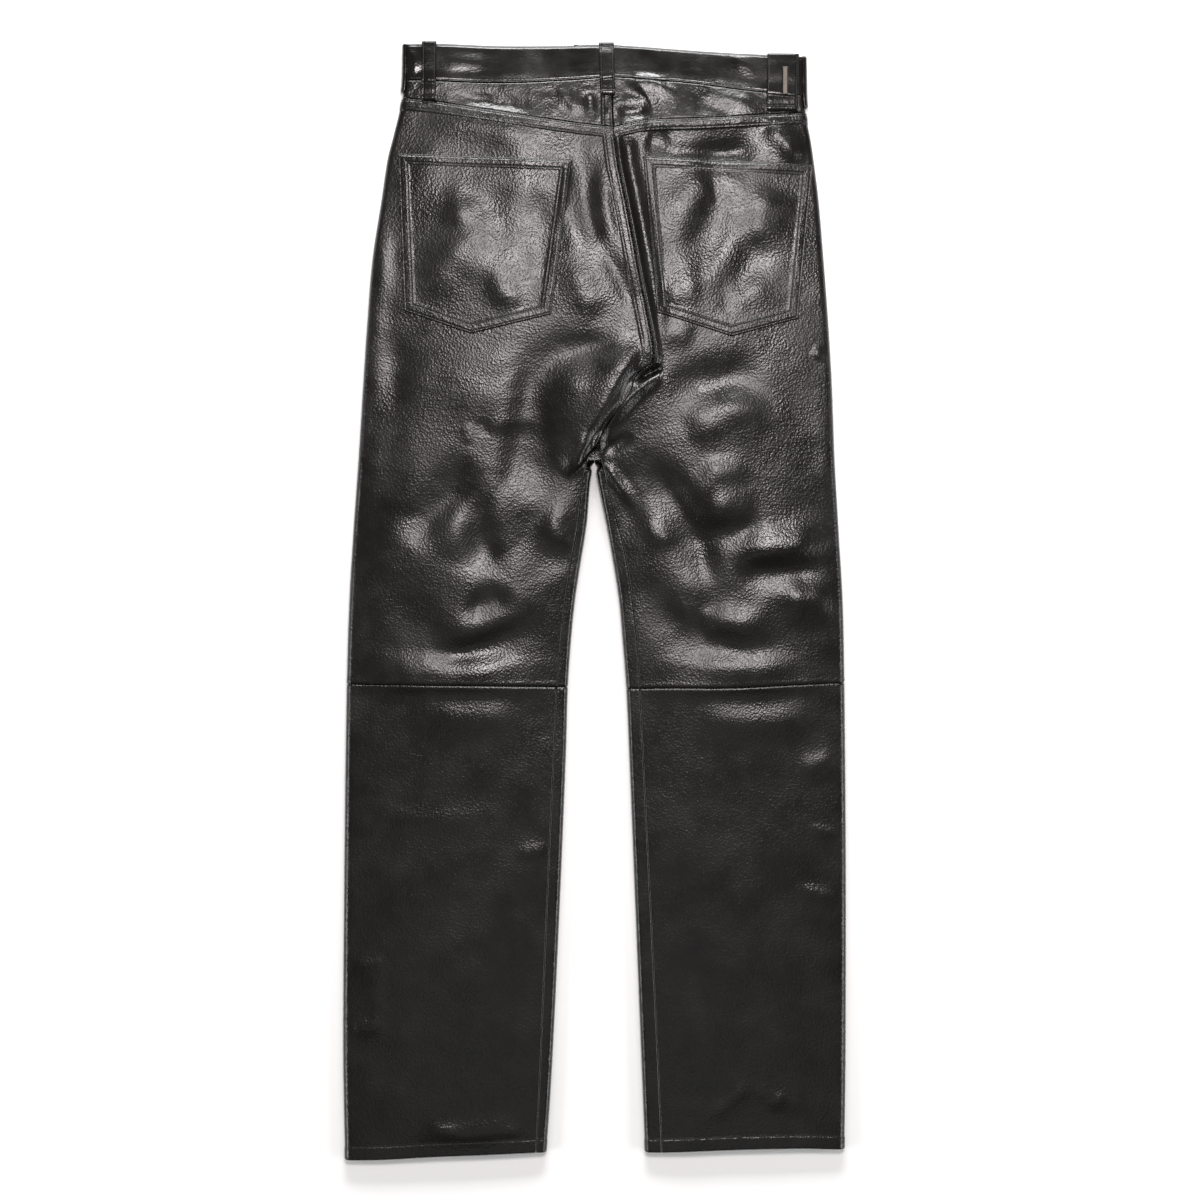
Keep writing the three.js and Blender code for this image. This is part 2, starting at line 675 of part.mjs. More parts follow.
// The plain metal bar on the wide loop.
function metalBar() {
  const { bevel, width, length, thickness } = BAR;
  const flatWidth = width / 2 - bevel;
  const flatLength = length / 2 - bevel;
  const shape = new THREE.Shape([
    new THREE.Vector2(-flatWidth, -flatLength),
    new THREE.Vector2(flatWidth, -flatLength),
    new THREE.Vector2(flatWidth, flatLength),
    new THREE.Vector2(-flatWidth, flatLength),
  ]);
  const depth = thickness - 2 * bevel;
  const options = { depth, bevelEnabled: true, bevelThickness: bevel, bevelSize: bevel, bevelSegments: 2 };
  const bar = new THREE.ExtrudeGeometry(shape, options);
  const under = loopSeat(BAR.x, BAR.down) + 0.4 + LOOP_CLEARANCE + LOOP_LEATHER;
  bar.translate(BAR.x, LENGTH / 2 - BAR.down, under + SEAM_GAP + bevel);
  return bar;
}

// The waist button, face down below the waistband's front.
function waistButton() {
  const { radius, thickness, rim, dish } = BUTTON;
  const profile = [
    new THREE.Vector2(0, thickness),
    new THREE.Vector2(radius - rim, thickness),
    new THREE.Vector2(radius, thickness - rim),
    new THREE.Vector2(radius - 0.3 * rim, 0.3 * rim),
    new THREE.Vector2(radius - rim, 0),
    new THREE.Vector2(radius - 2.2 * rim, dish),
    new THREE.Vector2(0, dish),
  ];
  const button = new THREE.LatheGeometry(profile.reverse(), 28);
  button.rotateX(Math.PI / 2);
  button.translate(centreFront(0) - radius - 4, LENGTH / 2 - BUTTON.down, 0);
  return button;
}

// The fly shield lies inside, across the centre front, on the inner face of both front panels.
function flyShield() {
  const pointAt = (across, row) => {
    const down = lerp(SHIELD.from, SHIELD.to, row);
    const middle = centreFront(down);
    const narrow = 1 - 0.45 * smoothstep(row, 0.72, 1);
    const x = across < 0 ? middle + across * SHIELD.before * narrow : middle + across * SHIELD.past;
    return place(x, down, lowHeight(down) + LEATHER + SHIELD.clearance);
  };
  return wall(pointAt, [-1, -0.5, 0, 1], evenly(0, 1, 12), { facing: -1, outside: LEATHER, inside: () => 0 });
}

const trousers = new THREE.Group();

function add(name, geometry, material) {
  const mesh = new THREE.Mesh(geometry, material);
  mesh.name = name;
  trousers.add(mesh);
}

for (const side of [-1, 1]) {
  const word = half(side);
  add(`yoke_${word}`, yoke(side), leather);
  add(`back_leg_upper_${word}`, backLegUpper(side), leather);
  add(`back_leg_lower_${word}`, backLegLower(side), leather);
  add(`front_leg_upper_${word}`, frontLegUpper(side), leather);
  add(`front_leg_lower_${word}`, frontLegLower(side), leather);
  add(`back_pocket_${word}`, backPocket(side), leather);
  add(`belt_loop_front_${word}`, sideLoop(side), leather);
}
add("waistband", waistband(), leather);
for (const loop of [...LOOPS, WIDE_LOOP]) add(loop.name, beltLoop(loop), leather);
add("loop_bar", metalBar(), steel);
add("waist_button", waistButton(), steel);
add("fly_shield", flyShield(), leather);

export default trousers;
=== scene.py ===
"""Black leather trousers of the five-pocket cut, laid flat on a table with the back side up.

Sizes in the tables are millimetres. "down" is the distance below the top of the back belt loops,
"side" is -1 for the wearer's left half and +1 for the right half. One function places a piece's
points in metres, in the frame that is loaded here.
"""

import bpy
import numpy as np
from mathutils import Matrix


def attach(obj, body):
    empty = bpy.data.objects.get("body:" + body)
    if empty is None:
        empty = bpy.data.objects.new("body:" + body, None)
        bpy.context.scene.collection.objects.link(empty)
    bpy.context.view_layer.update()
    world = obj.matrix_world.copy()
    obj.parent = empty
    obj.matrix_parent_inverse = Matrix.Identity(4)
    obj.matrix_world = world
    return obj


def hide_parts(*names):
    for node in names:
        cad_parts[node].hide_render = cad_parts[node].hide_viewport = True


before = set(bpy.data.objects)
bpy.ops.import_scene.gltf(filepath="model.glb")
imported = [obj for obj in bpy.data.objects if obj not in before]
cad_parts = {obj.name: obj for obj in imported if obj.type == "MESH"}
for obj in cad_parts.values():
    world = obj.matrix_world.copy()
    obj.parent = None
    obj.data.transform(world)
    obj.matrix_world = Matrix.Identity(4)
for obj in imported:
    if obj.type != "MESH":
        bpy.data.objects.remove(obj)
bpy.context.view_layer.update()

bl_info = {
    "name": "Leather trousers, laid flat",
    "version": (1, 0, 0),
    "blender": (4, 5, 0),
    "location": "3D View > Sidebar > Trousers",
    "description": "Builds the panels, pockets, loops and stitching of a pair of leather trousers",
    "category": "Object",
}

METRES = 0.001

# Sizes of the cloth, of its side folds and of its seams.
LENGTH = 1082
LEATHER = 1.5
HEM_LEATHER = 2.8
HEM_DEPTH = 12.5
SEAM_GAP = 0.3
SEAM_EVEN = 1
ROLL = 6
INNER_ROLL = 4.5
OUTSEAM_IN = 16
FRONT_EASE = 8
# The waistband: its wall, how far it stands above the yokes and off the table, its underlap, and the
# rows over which the front below it sinks to the table.
BAND_LEATHER = 2.5
BAND_PROUD = 1
BAND_LIFT = 2.2
BAND_UNDERLAP = 32
UNDERLAP_RAMP = 22
FRONT_RAMP = (66, 135)
# Rows of the seams and of the crotch: how far down each lies at the centre back.
WAIST_ROW = 35
YOKE_ROW = 84.4
CROTCH_ROW = 408
KNEE_ROW = 624
HEM_ROW = 1074
# How far down one form starts to pass into the next, and where it has done so.
CROTCH_CURL = (407, 415)
SEAT_TO_LEG = (330, 425)
SEAT_SEAM_END = (300, 318)
CROTCH_FOLD = (316, 330, 402, 412)
YOKE_SLANT_END = 210
KNEE_SLANT = (540, 710)
HEM_SLANT_START = 940
# The top layer: its lowest height, how square its crown is, and how much the band and yokes fall off.
LOWEST_TOP = 9
CROWN_POWER = 2.5
BAND_FALL = 0.18
YOKE_FALL = 0.06
# Widths that turn shares into millimetres, the height that parts the top from the underside, and a
# distance beyond every edge.
PANEL_WIDTH = 190
STRIP_WIDTH = 8
POCKET_WIDTH = 165
UNDERSIDE = 6
FAR = 99


def table(names, *rows):
    """A short table with named columns."""
    return dict(zip(names, np.array(rows, float).T))


OUTLINE = table(
    ("down", "left", "right"),
    (0, -183.2, 202.4),
    (39, -183.8, 202.8),
    (57, -186.2, 203.2),
    (76, -190.6, 205.2),
    (95, -195.5, 209.0),
    (114, -200.3, 211.9),
    (153, -206.1, 216.8),
    (211, -214.9, 221.6),
    (270, -219.7, 226.0),
    (328, -223.6, 229.4),
    (405, -228.4, 232.3),
    (473, -233.3, 236.2),
    (541, -237.2, 240.1),
    (624, -239.8, 241.8),
    (784, -242.0, 243.2),
    (978, -243.2, 243.0),
    (1082, -241.4, 241.6),
)
# Where the back panels end above the crotch: the centre-back seam, then the fold into the crotch.
CENTRE_BACK = table(
    ("down", "left", "right"),
    (0, 17.0, 17.0),
    (53, 17.0, 17.0),
    (85, 17.9, 17.9),
    (120, 21.8, 21.8),
    (146, 27.2, 27.2),
    (181, 34.0, 34.0),
    (224, 41.9, 41.9),
    (277, 52.4, 52.4),
    (298, 56.0, 56.0),
    (312, 55.0, 55.0),
    (318, 46.5, 46.5),
    (325, 40.5, 40.5),
    (345, 30.8, 30.8),
    (362, 19.8, 19.8),
    (372, 13.0, 13.4),
    (380, 7.6, 8.6),
    (388, 2.6, 5.2),
    (400, -4.6, 5.8),
    (408, -7.2, 7.2),
)
CENTRE_FRONT = table(("down", "x"), (0, 12), (200, 7), (300, 3), (408, -0.3))
INNER_EDGE = table(
    ("down", "left", "right"),
    (408, -1.2, 0.6),
    (428, -4.4, 3.9),
    (465, -7.3, 11.2),
    (502, -13.1, 17.9),
    (541, -18.9, 23.8),
    (580, -22.8, 27.2),
    (624, -25.7, 30.6),
    (687, -27.6, 33.5),
    (832, -33.5, 39.3),
    (1002, -41.7, 46.1),
    (1082, -47.3, 49.2),
)
INSEAM = table(
    ("down", "left", "right"),
    (408, -7.2, 7.2),
    (428, -11.6, 11.4),
    (465, -15.6, 21.8),
    (502, -22.3, 30.6),
    (541, -28.2, 36.4),
    (580, -32.5, 40.7),
    (624, -36.4, 43.4),
    (687, -39.3, 46.6),
    (832, -45.8, 53.8),
    (1002, -52.9, 62.0),
    (1082, -57.0, 65.5),
)
# Seam lines by how far out they lie: out is 0 at the centre back and 1 at the side.
SEAM_COLUMNS = ("out", "top", "waist", "yoke", "knee", "hem")
SEAM_LINES = {
    -1: table(
        SEAM_COLUMNS,
        (0, 3.0, 35.0, 84.4, 623.8, 1074),
        (0.25, 3.9, 38.5, 78.0, 623.4, 1076),
        (0.54, 3.9, 40.7, 69.0, 622.8, 1078),
        (0.84, 2.0, 39.0, 59.5, 622.0, 1081),
        (1, 2.2, 37.8, 55.8, 621.4, 1081.6),
    ),
    1: table(
        SEAM_COLUMNS,
        (0, 3.0, 35.0, 84.4, 625.6, 1074),
        (0.16, 4.8, 36.6, 78.0, 625.2, 1073),
        (0.46, 8.8, 41.7, 75.7, 625.2, 1071),
        (0.8, 12.4, 49.5, 71.8, 622.0, 1070),
        (1, 14.2, 52.5, 69.6, 620.2, 1071),
    ),
}
# Height of the top layer at the side folds, and how much it rises between them.
LOFT = table(
    ("down", "edge", "crown"),
    (0, 12, 5),
    (60, 12, 6),
    (150, 13, 9),
    (300, 14, 10),
    (400, 13, 9),
    (520, 12, 8),
    (624, 11.5, 4.5),
    (760, 11, 3),
    (1082, 11, 2.5),
)


def fold_table(*rows):
    """Rows of folds as dictionaries with named columns."""
    return [dict(zip(FOLD_COLUMNS, row)) for row in rows]


# Folds of the top layer: a line from start through middle to end, its rise or, if negative, its
# depth, and how far it falls off on the side towards the waist and on the side towards the hem.
FOLD_COLUMNS = ("x0", "down0", "x1", "down1", "x2", "down2", "rise", "above", "below")
FOLDS = fold_table(
    # Left seat and thigh.
    (-77, 310, -20, 305, 30, 286, -3, 14, 20),
    (-36, 420, 2, 376, 34, 328, 4, 15, 9),
    (-52, 392, -30, 345, -8, 305, 3, 16, 14),
    (-181, 493, -150, 450, -109, 403, -6, 20, 13),
    (-140, 505, -122, 465, -97, 420, 4, 16, 16),
    (-96, 424, -112, 470, -83, 526, -7, 11, 16),
    (-128, 541, -102, 545, -80, 526, -5, 11, 15),
    (-162, 580, -105, 566, -46, 532, 5, 16, 11),
    (-165, 590, -110, 584, -46, 550, -5, 11, 14),
    (-228, 606, -150, 611, -70, 601, 3.5, 12, 12),
    (-46, 446, -34, 470, -44, 500, 3, 12, 12),
    # Right seat, flap beside the crotch and thigh.
    (47, 97, 60, 99, 76, 94, -3, 12, 10),
    (68, 327, 115, 328, 168, 316, -4, 12, 18),
    (84, 376, 120, 362, 168, 344, 4, 16, 16),
    (30, 396, 84, 455, 106, 530, -8, 12, 17),
    (88, 566, 106, 556, 116, 532, -2, 15, 15),
    (98, 410, 122, 436, 138, 468, 4, 18, 18),
    (91, 486, 128, 476, 170, 464, -4, 10, 10),
    (130, 501, 180, 492, 229, 478, 6, 16, 10),
    (128, 513, 180, 511, 229, 508, -5, 10, 13),
    (178, 544, 205, 541, 232, 532, 3, 12, 12),
    (45, 510, 96, 570, 188, 580, -5, 12, 18),
    (100, 549, 134, 568, 176, 564, 4, 14, 12),
    (92, 596, 145, 606, 200, 604, 3, 12, 12),
    # Below the knees.
    (-182, 643, -122, 654, -66, 644, 3.4, 12, 13),
    (84, 645, 160, 659, 224, 640, 3.6, 12, 13),
)
# Smaller creases, in the same columns.
CREASES = fold_table(
    # The fold at the crotch: the rolled edge of the left leg, the tongue of the right one and the
    # hollows beside them.
    (7, 382, -10, 404, -31, 422, 4.5, 2.5, 14),
    (67, 324, 38, 342, 13, 377, 4.4, 6, 7),
    (16, 370, 2, 394, 11, 416, 3.5, 5, 3),
    (9, 408, 21, 425, 46, 459, 2.4, 6, 5),
    (36, 377, 22, 389, 7, 393, -2, 8, 5),
    (66, 318, 52, 322, 37, 334, -8, 3.5, 3.5),
    (44, 284, 11, 345, -48, 444, 5.6, 10, 32),
    (-57, 284, -66, 367, -95, 464, -3.8, 30, 16),
    # Waistband and yokes.
    (-144, 53, -95, 60, -44, 69, -2.4, 9, 8),
    (-37, 47, -24, 58, -14, 74, 1.4, 8, 6),
    (-6, 48, -4, 60, -2, 76, -1.6, 5, 5),
    (34, 53, 52, 40, 91, 60, 3, 5, 15),
    (21, 72, 38, 70, 56, 65, -2.2, 6, 8),
    (17, 78, 18, 63, 39, 56, 1.3, 4, 5),
    (106, 50, 133, 56, 167, 70, 1.4, 7, 9),
    (93, 60, 117, 68, 146, 76, -1.4, 9, 9),
    (30, 80, 110, 77, 185, 71, 2.6, 24, 9),
    (-165, 62, -90, 69, -20, 79, 1.1, 22, 9),
    (-150, 23, -126, 19, -92, 23, 1, 8, 10),
    (-179, 6, -174, 19, -177, 37, 1.2, 4, 4),
    (117, 14, 141, 21, 162, 27, 0.8, 7, 8),
    # Seat and pockets.
    (-26, 114, -29, 145, -34, 180, 1.6, 4, 4),
    (4, 98, -6, 160, 12, 214, -2.6, 9, 14),
    (3, 198, 25, 231, 38, 268, -1.8, 9, 9),
    (13, 126, 12, 165, 25, 208, 1.4, 7, 9),
    (-22, 210, -11, 242, 5, 272, 2, 15, 14),
    (-129, 144, -123, 178, -92, 213, 2.2, 20, 18),
    (-125, 180, -142, 213, -160, 254, 2.2, 18, 20),
    (-105, 202, -90, 236, -76, 262, 1.8, 16, 14),
    (-72, 140, -45, 178, -53, 231, -2.6, 22, 20),
    (-202, 134, -209, 250, -213, 386, 1.2, 9, 10),
    (-169, 68, -111, 83, -45, 87, 1.8, 10, 17),
    (-185, 279, -191, 328, -179, 386, -1.6, 16, 14),
    (44, 86, 59, 83, 78, 87, 1.2, 6, 10),
    (159, 80, 184, 95, 197, 126, 2, 11, 14),
    (90, 106, 128, 110, 162, 97, -3.2, 14, 14),
    (117, 132, 88, 148, 59, 200, 2.2, 20, 18),
    (136, 136, 108, 178, 91, 219, -2.4, 18, 18),
    (178, 140, 170, 173, 146, 208, 2, 18, 18),
    (162, 180, 146, 226, 124, 272, -2.2, 20, 18),
    (62, 255, 83, 242, 108, 239, 1.4, 20, 15),
    (124, 254, 146, 246, 168, 229, 1.6, 14, 12),
    (56, 289, 78, 283, 100, 286, 1.8, 14, 11),
    # Short ones on the thighs, the waist and the legs.
    (-128, 368, -122, 380, -124, 392, 0.8, 5, 5),
    (-112, 366, -106, 374, -104, 386, -0.8, 5, 5),
    (180, 96, 190, 106, 196, 118, 1.2, 7, 7),
    (210, 296, 216, 302, 214, 310, 1.6, 5, 5),
    (-166, 1048, -146, 1052, -130, 1052, 0.9, 5, 5),
    (-92, 1052, -80, 1054, -68, 1052, 0.8, 5, 5),
    (106, 1044, 132, 1022, 156, 1002, 1, 6, 7),
    (166, 1034, 176, 1024, 186, 1014, 0.8, 5, 6),
    (-216, 896, -212, 920, -210, 952, 0.8, 9, 9),
    (-237, 953, -219, 952, -200, 948, 1.8, 8, 9),
    (-234, 895, -216, 893, -198, 886, 1.5, 6, 8),
    (-186, 1050, -122, 1056, -66, 1044, 2, 13, 8),
    (-78, 784, -60, 783, -44, 778, 1.3, 7, 7),
    (192, 818, 216, 823, 238, 832, 1.5, 6, 9),
    (194, 704, 216, 698, 240, 686, 2, 10, 11),
    (206, 756, 222, 764, 238, 766, 1, 5, 7),
    (148, 1008, 174, 1020, 214, 1034, 1, 8, 9),
    (-218, 748, -150, 752, -92, 744, 0.9, 10, 14),
    # The knee seams stand up a little.
    (-245, 621, -140, 622, -30, 624, 2.2, 17, 9),
    (30, 625, 140, 623, 247, 620, 2.2, 17, 9),
)
# Broad swellings and hollows of the seat and the thighs, in the same columns.
SWELLINGS = fold_table(
    (-140, 75, -85, 88, -25, 92, 1.5, 14, 16),
    (-100, 130, -95, 168, -85, 205, -2, 16, 16),
    (-60, 125, -48, 155, -40, 185, 1.5, 12, 12),
    (-50, 190, -52, 217, -45, 248, -1.5, 12, 12),
    (-105, 232, -85, 247, -65, 262, 1.5, 12, 12),
    (-60, 290, -5, 296, 50, 290, -3, 12, 14),
    (-160, 330, -110, 345, -60, 352, 2.5, 25, 20),
    (-112, 372, -80, 369, -48, 360, 1.5, 10, 8),
    (-30, 330, -45, 390, -70, 450, -4, 25, 25),
    (-100, 470, -60, 490, -30, 520, -3, 25, 25),
    (15, 400, 30, 440, 45, 490, -3, 14, 14),
    (98, 405, 125, 416, 152, 412, 2, 10, 10),
    (104, 440, 128, 458, 152, 470, 3, 16, 14),
    (101, 486, 111, 520, 117, 562, -3.7, 15, 15),
    (172, 530, 208, 542, 240, 552, 2.5, 14, 12),
    (112, 130, 92, 170, 78, 215, 2.5, 16, 16),
    (162, 135, 162, 165, 150, 200, 2, 10, 12),
    (160, 85, 182, 98, 196, 125, 2.5, 10, 10),
    (58, 106, 105, 108, 152, 108, -2.5, 8, 8),
    (215, 330, 222, 400, 226, 460, 1, 8, 8),
    (-238, 594, -140, 602, -28, 602, 1.5, 10, 10),
    (40, 598, 130, 604, 238, 596, 1.5, 10, 10),
    (-46, 462, -36, 476, -20, 488, 2, 8, 8),
    (45, 470, 62, 478, 80, 488, 2, 8, 8),
    (110, 342, 140, 355, 175, 358, 2, 14, 12),
    (-203, 180, -203, 215, -203, 260, 1.5, 8, 8),
    (-12, 85, -13, 140, 0, 205, -2, 9, 12),
    (-150, 200, -125, 215, -105, 235, 1.5, 14, 12),
    (-136, 130, -131, 160, -130, 190, 1.5, 9, 9),
    (130, 170, 112, 205, 88, 235, -2, 10, 10),
    (150, 210, 165, 240, 170, 265, 1, 12, 12),
    (-210, 330, -200, 400, -205, 470, -1, 14, 14),
    (-230, 520, -200, 560, -180, 590, 1, 20, 14),
    (60, 540, 110, 560, 170, 560, 1.5, 12, 14),
    (-60, 640, -50, 660, -45, 690, -1, 10, 10),
)
# Troughs of the hidden front, in the same columns: across the hips, at the crotch, behind the knees
# and above the hems.
FRONT_FOLDS = fold_table(
    (-196, 168, -134, 214, -62, 268, -0.6, 13, 17),
    (-180, 236, -118, 302, -34, 352, -0.5, 12, 15),
    (-150, 330, -98, 372, -30, 392, -0.6, 10, 13),
    (204, 152, 150, 220, 84, 258, -0.5, 15, 13),
    (190, 262, 122, 318, 44, 368, -0.6, 13, 15),
    (162, 352, 104, 380, 32, 398, -0.5, 9, 13),
    (-212, 446, -150, 470, -74, 458, -0.5, 14, 16),
    (218, 430, 152, 462, 70, 452, -0.45, 15, 14),
    (-224, 556, -148, 590, -52, 572, -0.6, 13, 17),
    (226, 548, 138, 584, 52, 566, -0.6, 14, 16),
    (-222, 646, -138, 662, -60, 640, -0.5, 12, 15),
    (74, 638, 152, 668, 228, 650, -0.5, 12, 16),
    (-226, 764, -160, 792, -66, 780, -0.4, 16, 18),
    (84, 812, 158, 826, 232, 800, -0.4, 15, 18),
    (-204, 1006, -138, 1030, -76, 1016, -0.5, 12, 10),
    (92, 998, 152, 1024, 220, 1008, -0.45, 13, 10),
)
FOLD_STEPS = 16
FOLD_STRENGTH = 0.75
FOLD_SOFTNESS = 1.3
SWELLING_STRENGTH = 0.6
SEAT_ROLL = {"start": 88, "full": 106, "fade": 304, "end": 330}
SEAT_ROLL_RISE = {"rise": 3.6, "off": 3.8, "width": 3.2}
SEAT_ROLL_DIP = {"depth": 3.4, "off": 13, "width": 7.5, "fade": 225, "end": 300}

# Back pockets, corner by corner as x and down: top inner, top outer, bottom outer, point, bottom inner.
POCKETS = {
    -1: np.array([(-21.3, 116.4), (-189.6, 109.1), (-183.5, 261.3), (-119.0, 283.6), (-41.8, 265.1)]),
    1: np.array([(46.8, 112.4), (211.0, 120.0), (196.4, 268.7), (132.0, 286.2), (60.0, 263.2)]),
}
POCKET_LEATHER = 1.6

# Belt loops on the back: middle, half width, the two ends and how far the lower end leans.
LOOP_LEATHER = 1.6
LOOP_CLEARANCE = 0.9
LOOP_SEAT = 0.4
LOOP_TURNED = 1.3
LOOPS = {
    "belt_loop_centre_back": {"x": 11.4, "half": 7.3, "top": 1.2, "bottom": 53.5, "lean": 1.4},
    "belt_loop_back_left": {"x": -159.8, "half": 7, "top": 0, "bottom": 58.5, "lean": 0},
    "belt_loop_wide_right": {"x": 182.3, "half": 15.4, "top": 12, "bottom": 68.5, "lean": -1.5},
}
SIDE_LOOP = {"start": 0.2, "below": 7, "clearance": 0.35, "bottom_past": 12}
BAR = {"x": 183.8, "down": 39.5, "width": 5.8, "length": 27.6, "thickness": 1.8}
SHIELD = {"past": 14, "before": 28, "start": 40.5, "stop": 205, "clearance": 0.5}

# Seams: how far the stitch lines lie from the edge that they hold, and how the edge stands up.
FIRST_STITCH = 1.8
SECOND_STITCH = 8.4
SEAM_BAND = 9.6
SEAM_RISE = 1.0
GROOVE_WIDTH = 0.7

# The photograph's frame, and the sizes that set the camera.
FRAME_WIDTH = 1.164
FRAME_CENTRE = (0.0053, 0.001)
LENS = 85
SENSOR = 36

# The table's half width and its top, a hair below the leather, and the strength of the room's light.
TABLE_REACH = 4.0
TABLE_TOP = -0.0002
ROOM_LIGHT = 0.09


# Curves, folds and heights

def smooth(value, start, stop):
    """0 before start, 1 after stop, and a smooth cubic step between them."""
    t = np.clip((value - start) / (stop - start), 0, 1)
    return t * t * (3 - 2 * t)


def mix(a, b, t):
    """a where t is 0, b where t is 1, and evenly between them."""
    return a + (b - a) * t


def hump(value, middle, width):
    """A soft bump of height 1 at middle, which falls off within width."""
    return np.exp(-(((value - middle) / width) ** 2))


def evenly(start, stop, step):
    """Stations from start to stop, both included, about a step apart."""
    return np.linspace(start, stop, max(int(round(abs(stop - start) / step)), 1) + 1)


def chain(*runs):
    """Joins runs of stations that share their end values."""
    return np.concatenate([runs[0]] + [np.asarray(run)[1:] for run in runs[1:]])


def look(rows, column, at, by="down"):
    """A column of a table at any place: a cubic through its rows, level beyond the first and last."""
    places, values = rows[by], rows[column]
    last = len(places) - 1
    at = np.clip(at, places[0], places[-1])
    k = np.clip(np.searchsorted(places, at, side="right") - 1, 0, last - 1)
    order = np.arange(last + 1)
    before, after = np.maximum(order - 1, 0), np.minimum(order + 1, last)
    slopes = (values[after] - values[before]) / (places[after] - places[before])
    width = places[k + 1] - places[k]
    t = (at - places[k]) / width
    leave, arrive = slopes[k] * width, slopes[k + 1] * width
    rise = values[k + 1] - values[k]
    return values[k] + t * (leave + t * (3 * rise - 2 * leave - arrive + t * (leave + arrive - 2 * rise)))


def half(side):
    return "left" if side < 0 else "right"


def outer_edge(side, down):
    return look(OUTLINE, half(side), down)


def side_turn(side, down):
    return outer_edge(side, down) - side * ROLL


def inner_edge(side, down):
    return look(INNER_EDGE, half(side), down)


def inseam(side, down):
    return look(INSEAM, half(side), down)


def centre_front(down):
    return look(CENTRE_FRONT, "x", down)


def back_inner(side, down):
    """The line where a back panel ends towards the middle: centre back, then inseam."""
    return np.where(down < CROTCH_ROW, look(CENTRE_BACK, half(side), down), inseam(side, down))


def fold_rise(fold, x, down, strength=1, softness=1):
    """One fold: its rise times a taper that is nil at both ends, falling off as a Gaussian of the
    distance to a bent line, wide on one side and narrow on the other."""
    reach = 2.6 * softness * max(fold["above"], fold["below"])
    start = np.array((fold["x0"], fold["down0"]), float)
    stop = np.array((fold["x2"], fold["down2"]), float)
    bend = 2 * np.array((fold["x1"], fold["down1"]), float) - (start + stop) / 2
    t = np.linspace(0, 1, FOLD_STEPS + 1)[:, None]
    line = (1 - t) ** 2 * start + 2 * t * (1 - t) * bend + t**2 * stop
    low, high = line.min(0) - reach, line.max(0) + reach
    near = (x > low[0]) & (x < high[0]) & (down > low[1]) & (down < high[1])
    rise = np.zeros(np.broadcast(x, down).shape)
    px, pd = np.broadcast_to(x, rise.shape)[near], np.broadcast_to(down, rise.shape)[near]
    best, along, below = np.full(px.shape, np.inf), np.zeros(px.shape), np.zeros(px.shape, bool)
    for k in range(FOLD_STEPS):
        run = line[k + 1] - line[k]
        off_x, off_d = px - line[k, 0], pd - line[k, 1]
        share = np.clip((off_x * run[0] + off_d * run[1]) / (run @ run), 0, 1)
        distance = np.hypot(off_x - share * run[0], off_d - share * run[1])
        nearer = distance < best
        best = np.where(nearer, distance, best)
        along = np.where(nearer, (k + share) / FOLD_STEPS, along)
        below = np.where(nearer, run[0] * off_d - run[1] * off_x > 0, below)
    width = softness * np.where(below, fold["below"], fold["above"])
    taper = smooth(np.minimum(along, 1 - along), 0, 0.36)
    rise[near] = strength * fold["rise"] * taper * np.exp(-((best / width) ** 2))
    return rise


def drift(x, y, size, seed):
    """Soft unevenness from -1 to 1: values on a seeded lattice of the given size, smoothly joined. The
    lattice repeats after its last cell, and is shifted so that no corner lies on the middle."""
    cells = 64
    lattice = np.random.default_rng(seed).uniform(-1, 1, (cells, cells))
    u, v = x / size + 17.3, y / size + 31.7
    i, j = np.floor(u).astype(int), np.floor(v).astype(int)
    s, t = smooth(u - i, 0, 1), smooth(v - j, 0, 1)
    near = mix(lattice[i % cells, j % cells], lattice[(i + 1) % cells, j % cells], s)
    far = mix(lattice[i % cells, (j + 1) % cells], lattice[(i + 1) % cells, (j + 1) % cells], s)
    return mix(near, far, t)


def seat_roll(side, x, down):
    """The rolled ridge right of the centre-back seam, and the valley beyond it."""
    if side < 0:
        return 0
    run = smooth(down, SEAT_ROLL["start"], SEAT_ROLL["full"])
    run = run * (1 - smooth(down, SEAT_ROLL["fade"], SEAT_ROLL["end"]))
    off = x - back_inner(side, down)
    ridge, valley = SEAT_ROLL_RISE, SEAT_ROLL_DIP
    rise = ridge["rise"] * hump(off, ridge["off"], ridge["width"])
    dip = valley["depth"] * hump(off, valley["off"], valley["width"])
    dip = dip * (1 - smooth(down, valley["fade"], valley["end"]))
    return run * (rise - dip)


def top_height(side, x, down):
    """Height of the top layer: the loft of a seat or a leg, and the folds on it."""
    x, down = np.broadcast_arrays(np.asarray(x, float), np.asarray(down, float))
    edge, crown = look(LOFT, "edge", down), look(LOFT, "crown", down)

    def crowned(start, stop):
        off = np.clip(np.abs((2 * x - start - stop) / (stop - start)), 0, 1)
        return edge + crown * (1 - off**CROWN_POWER)

    seat = crowned(outer_edge(-1, down), outer_edge(1, down))
    leg = crowned(inner_edge(side, down), outer_edge(side, down))
    loft = mix(seat, leg, smooth(down, *SEAT_TO_LEG))
    folds = sum(fold_rise(fold, x, down, FOLD_STRENGTH, FOLD_SOFTNESS) for fold in FOLDS)
    over = loft + seat_roll(side, x, down) + folds - LOWEST_TOP
    height = LOWEST_TOP + (over + np.hypot(over, 1)) / 2
    height = height + sum(fold_rise(crease, x, down) for crease in CREASES)
    height = height + sum(fold_rise(swelling, x, down, SWELLING_STRENGTH) for swelling in SWELLINGS)
    return height + unevenness(x, down)


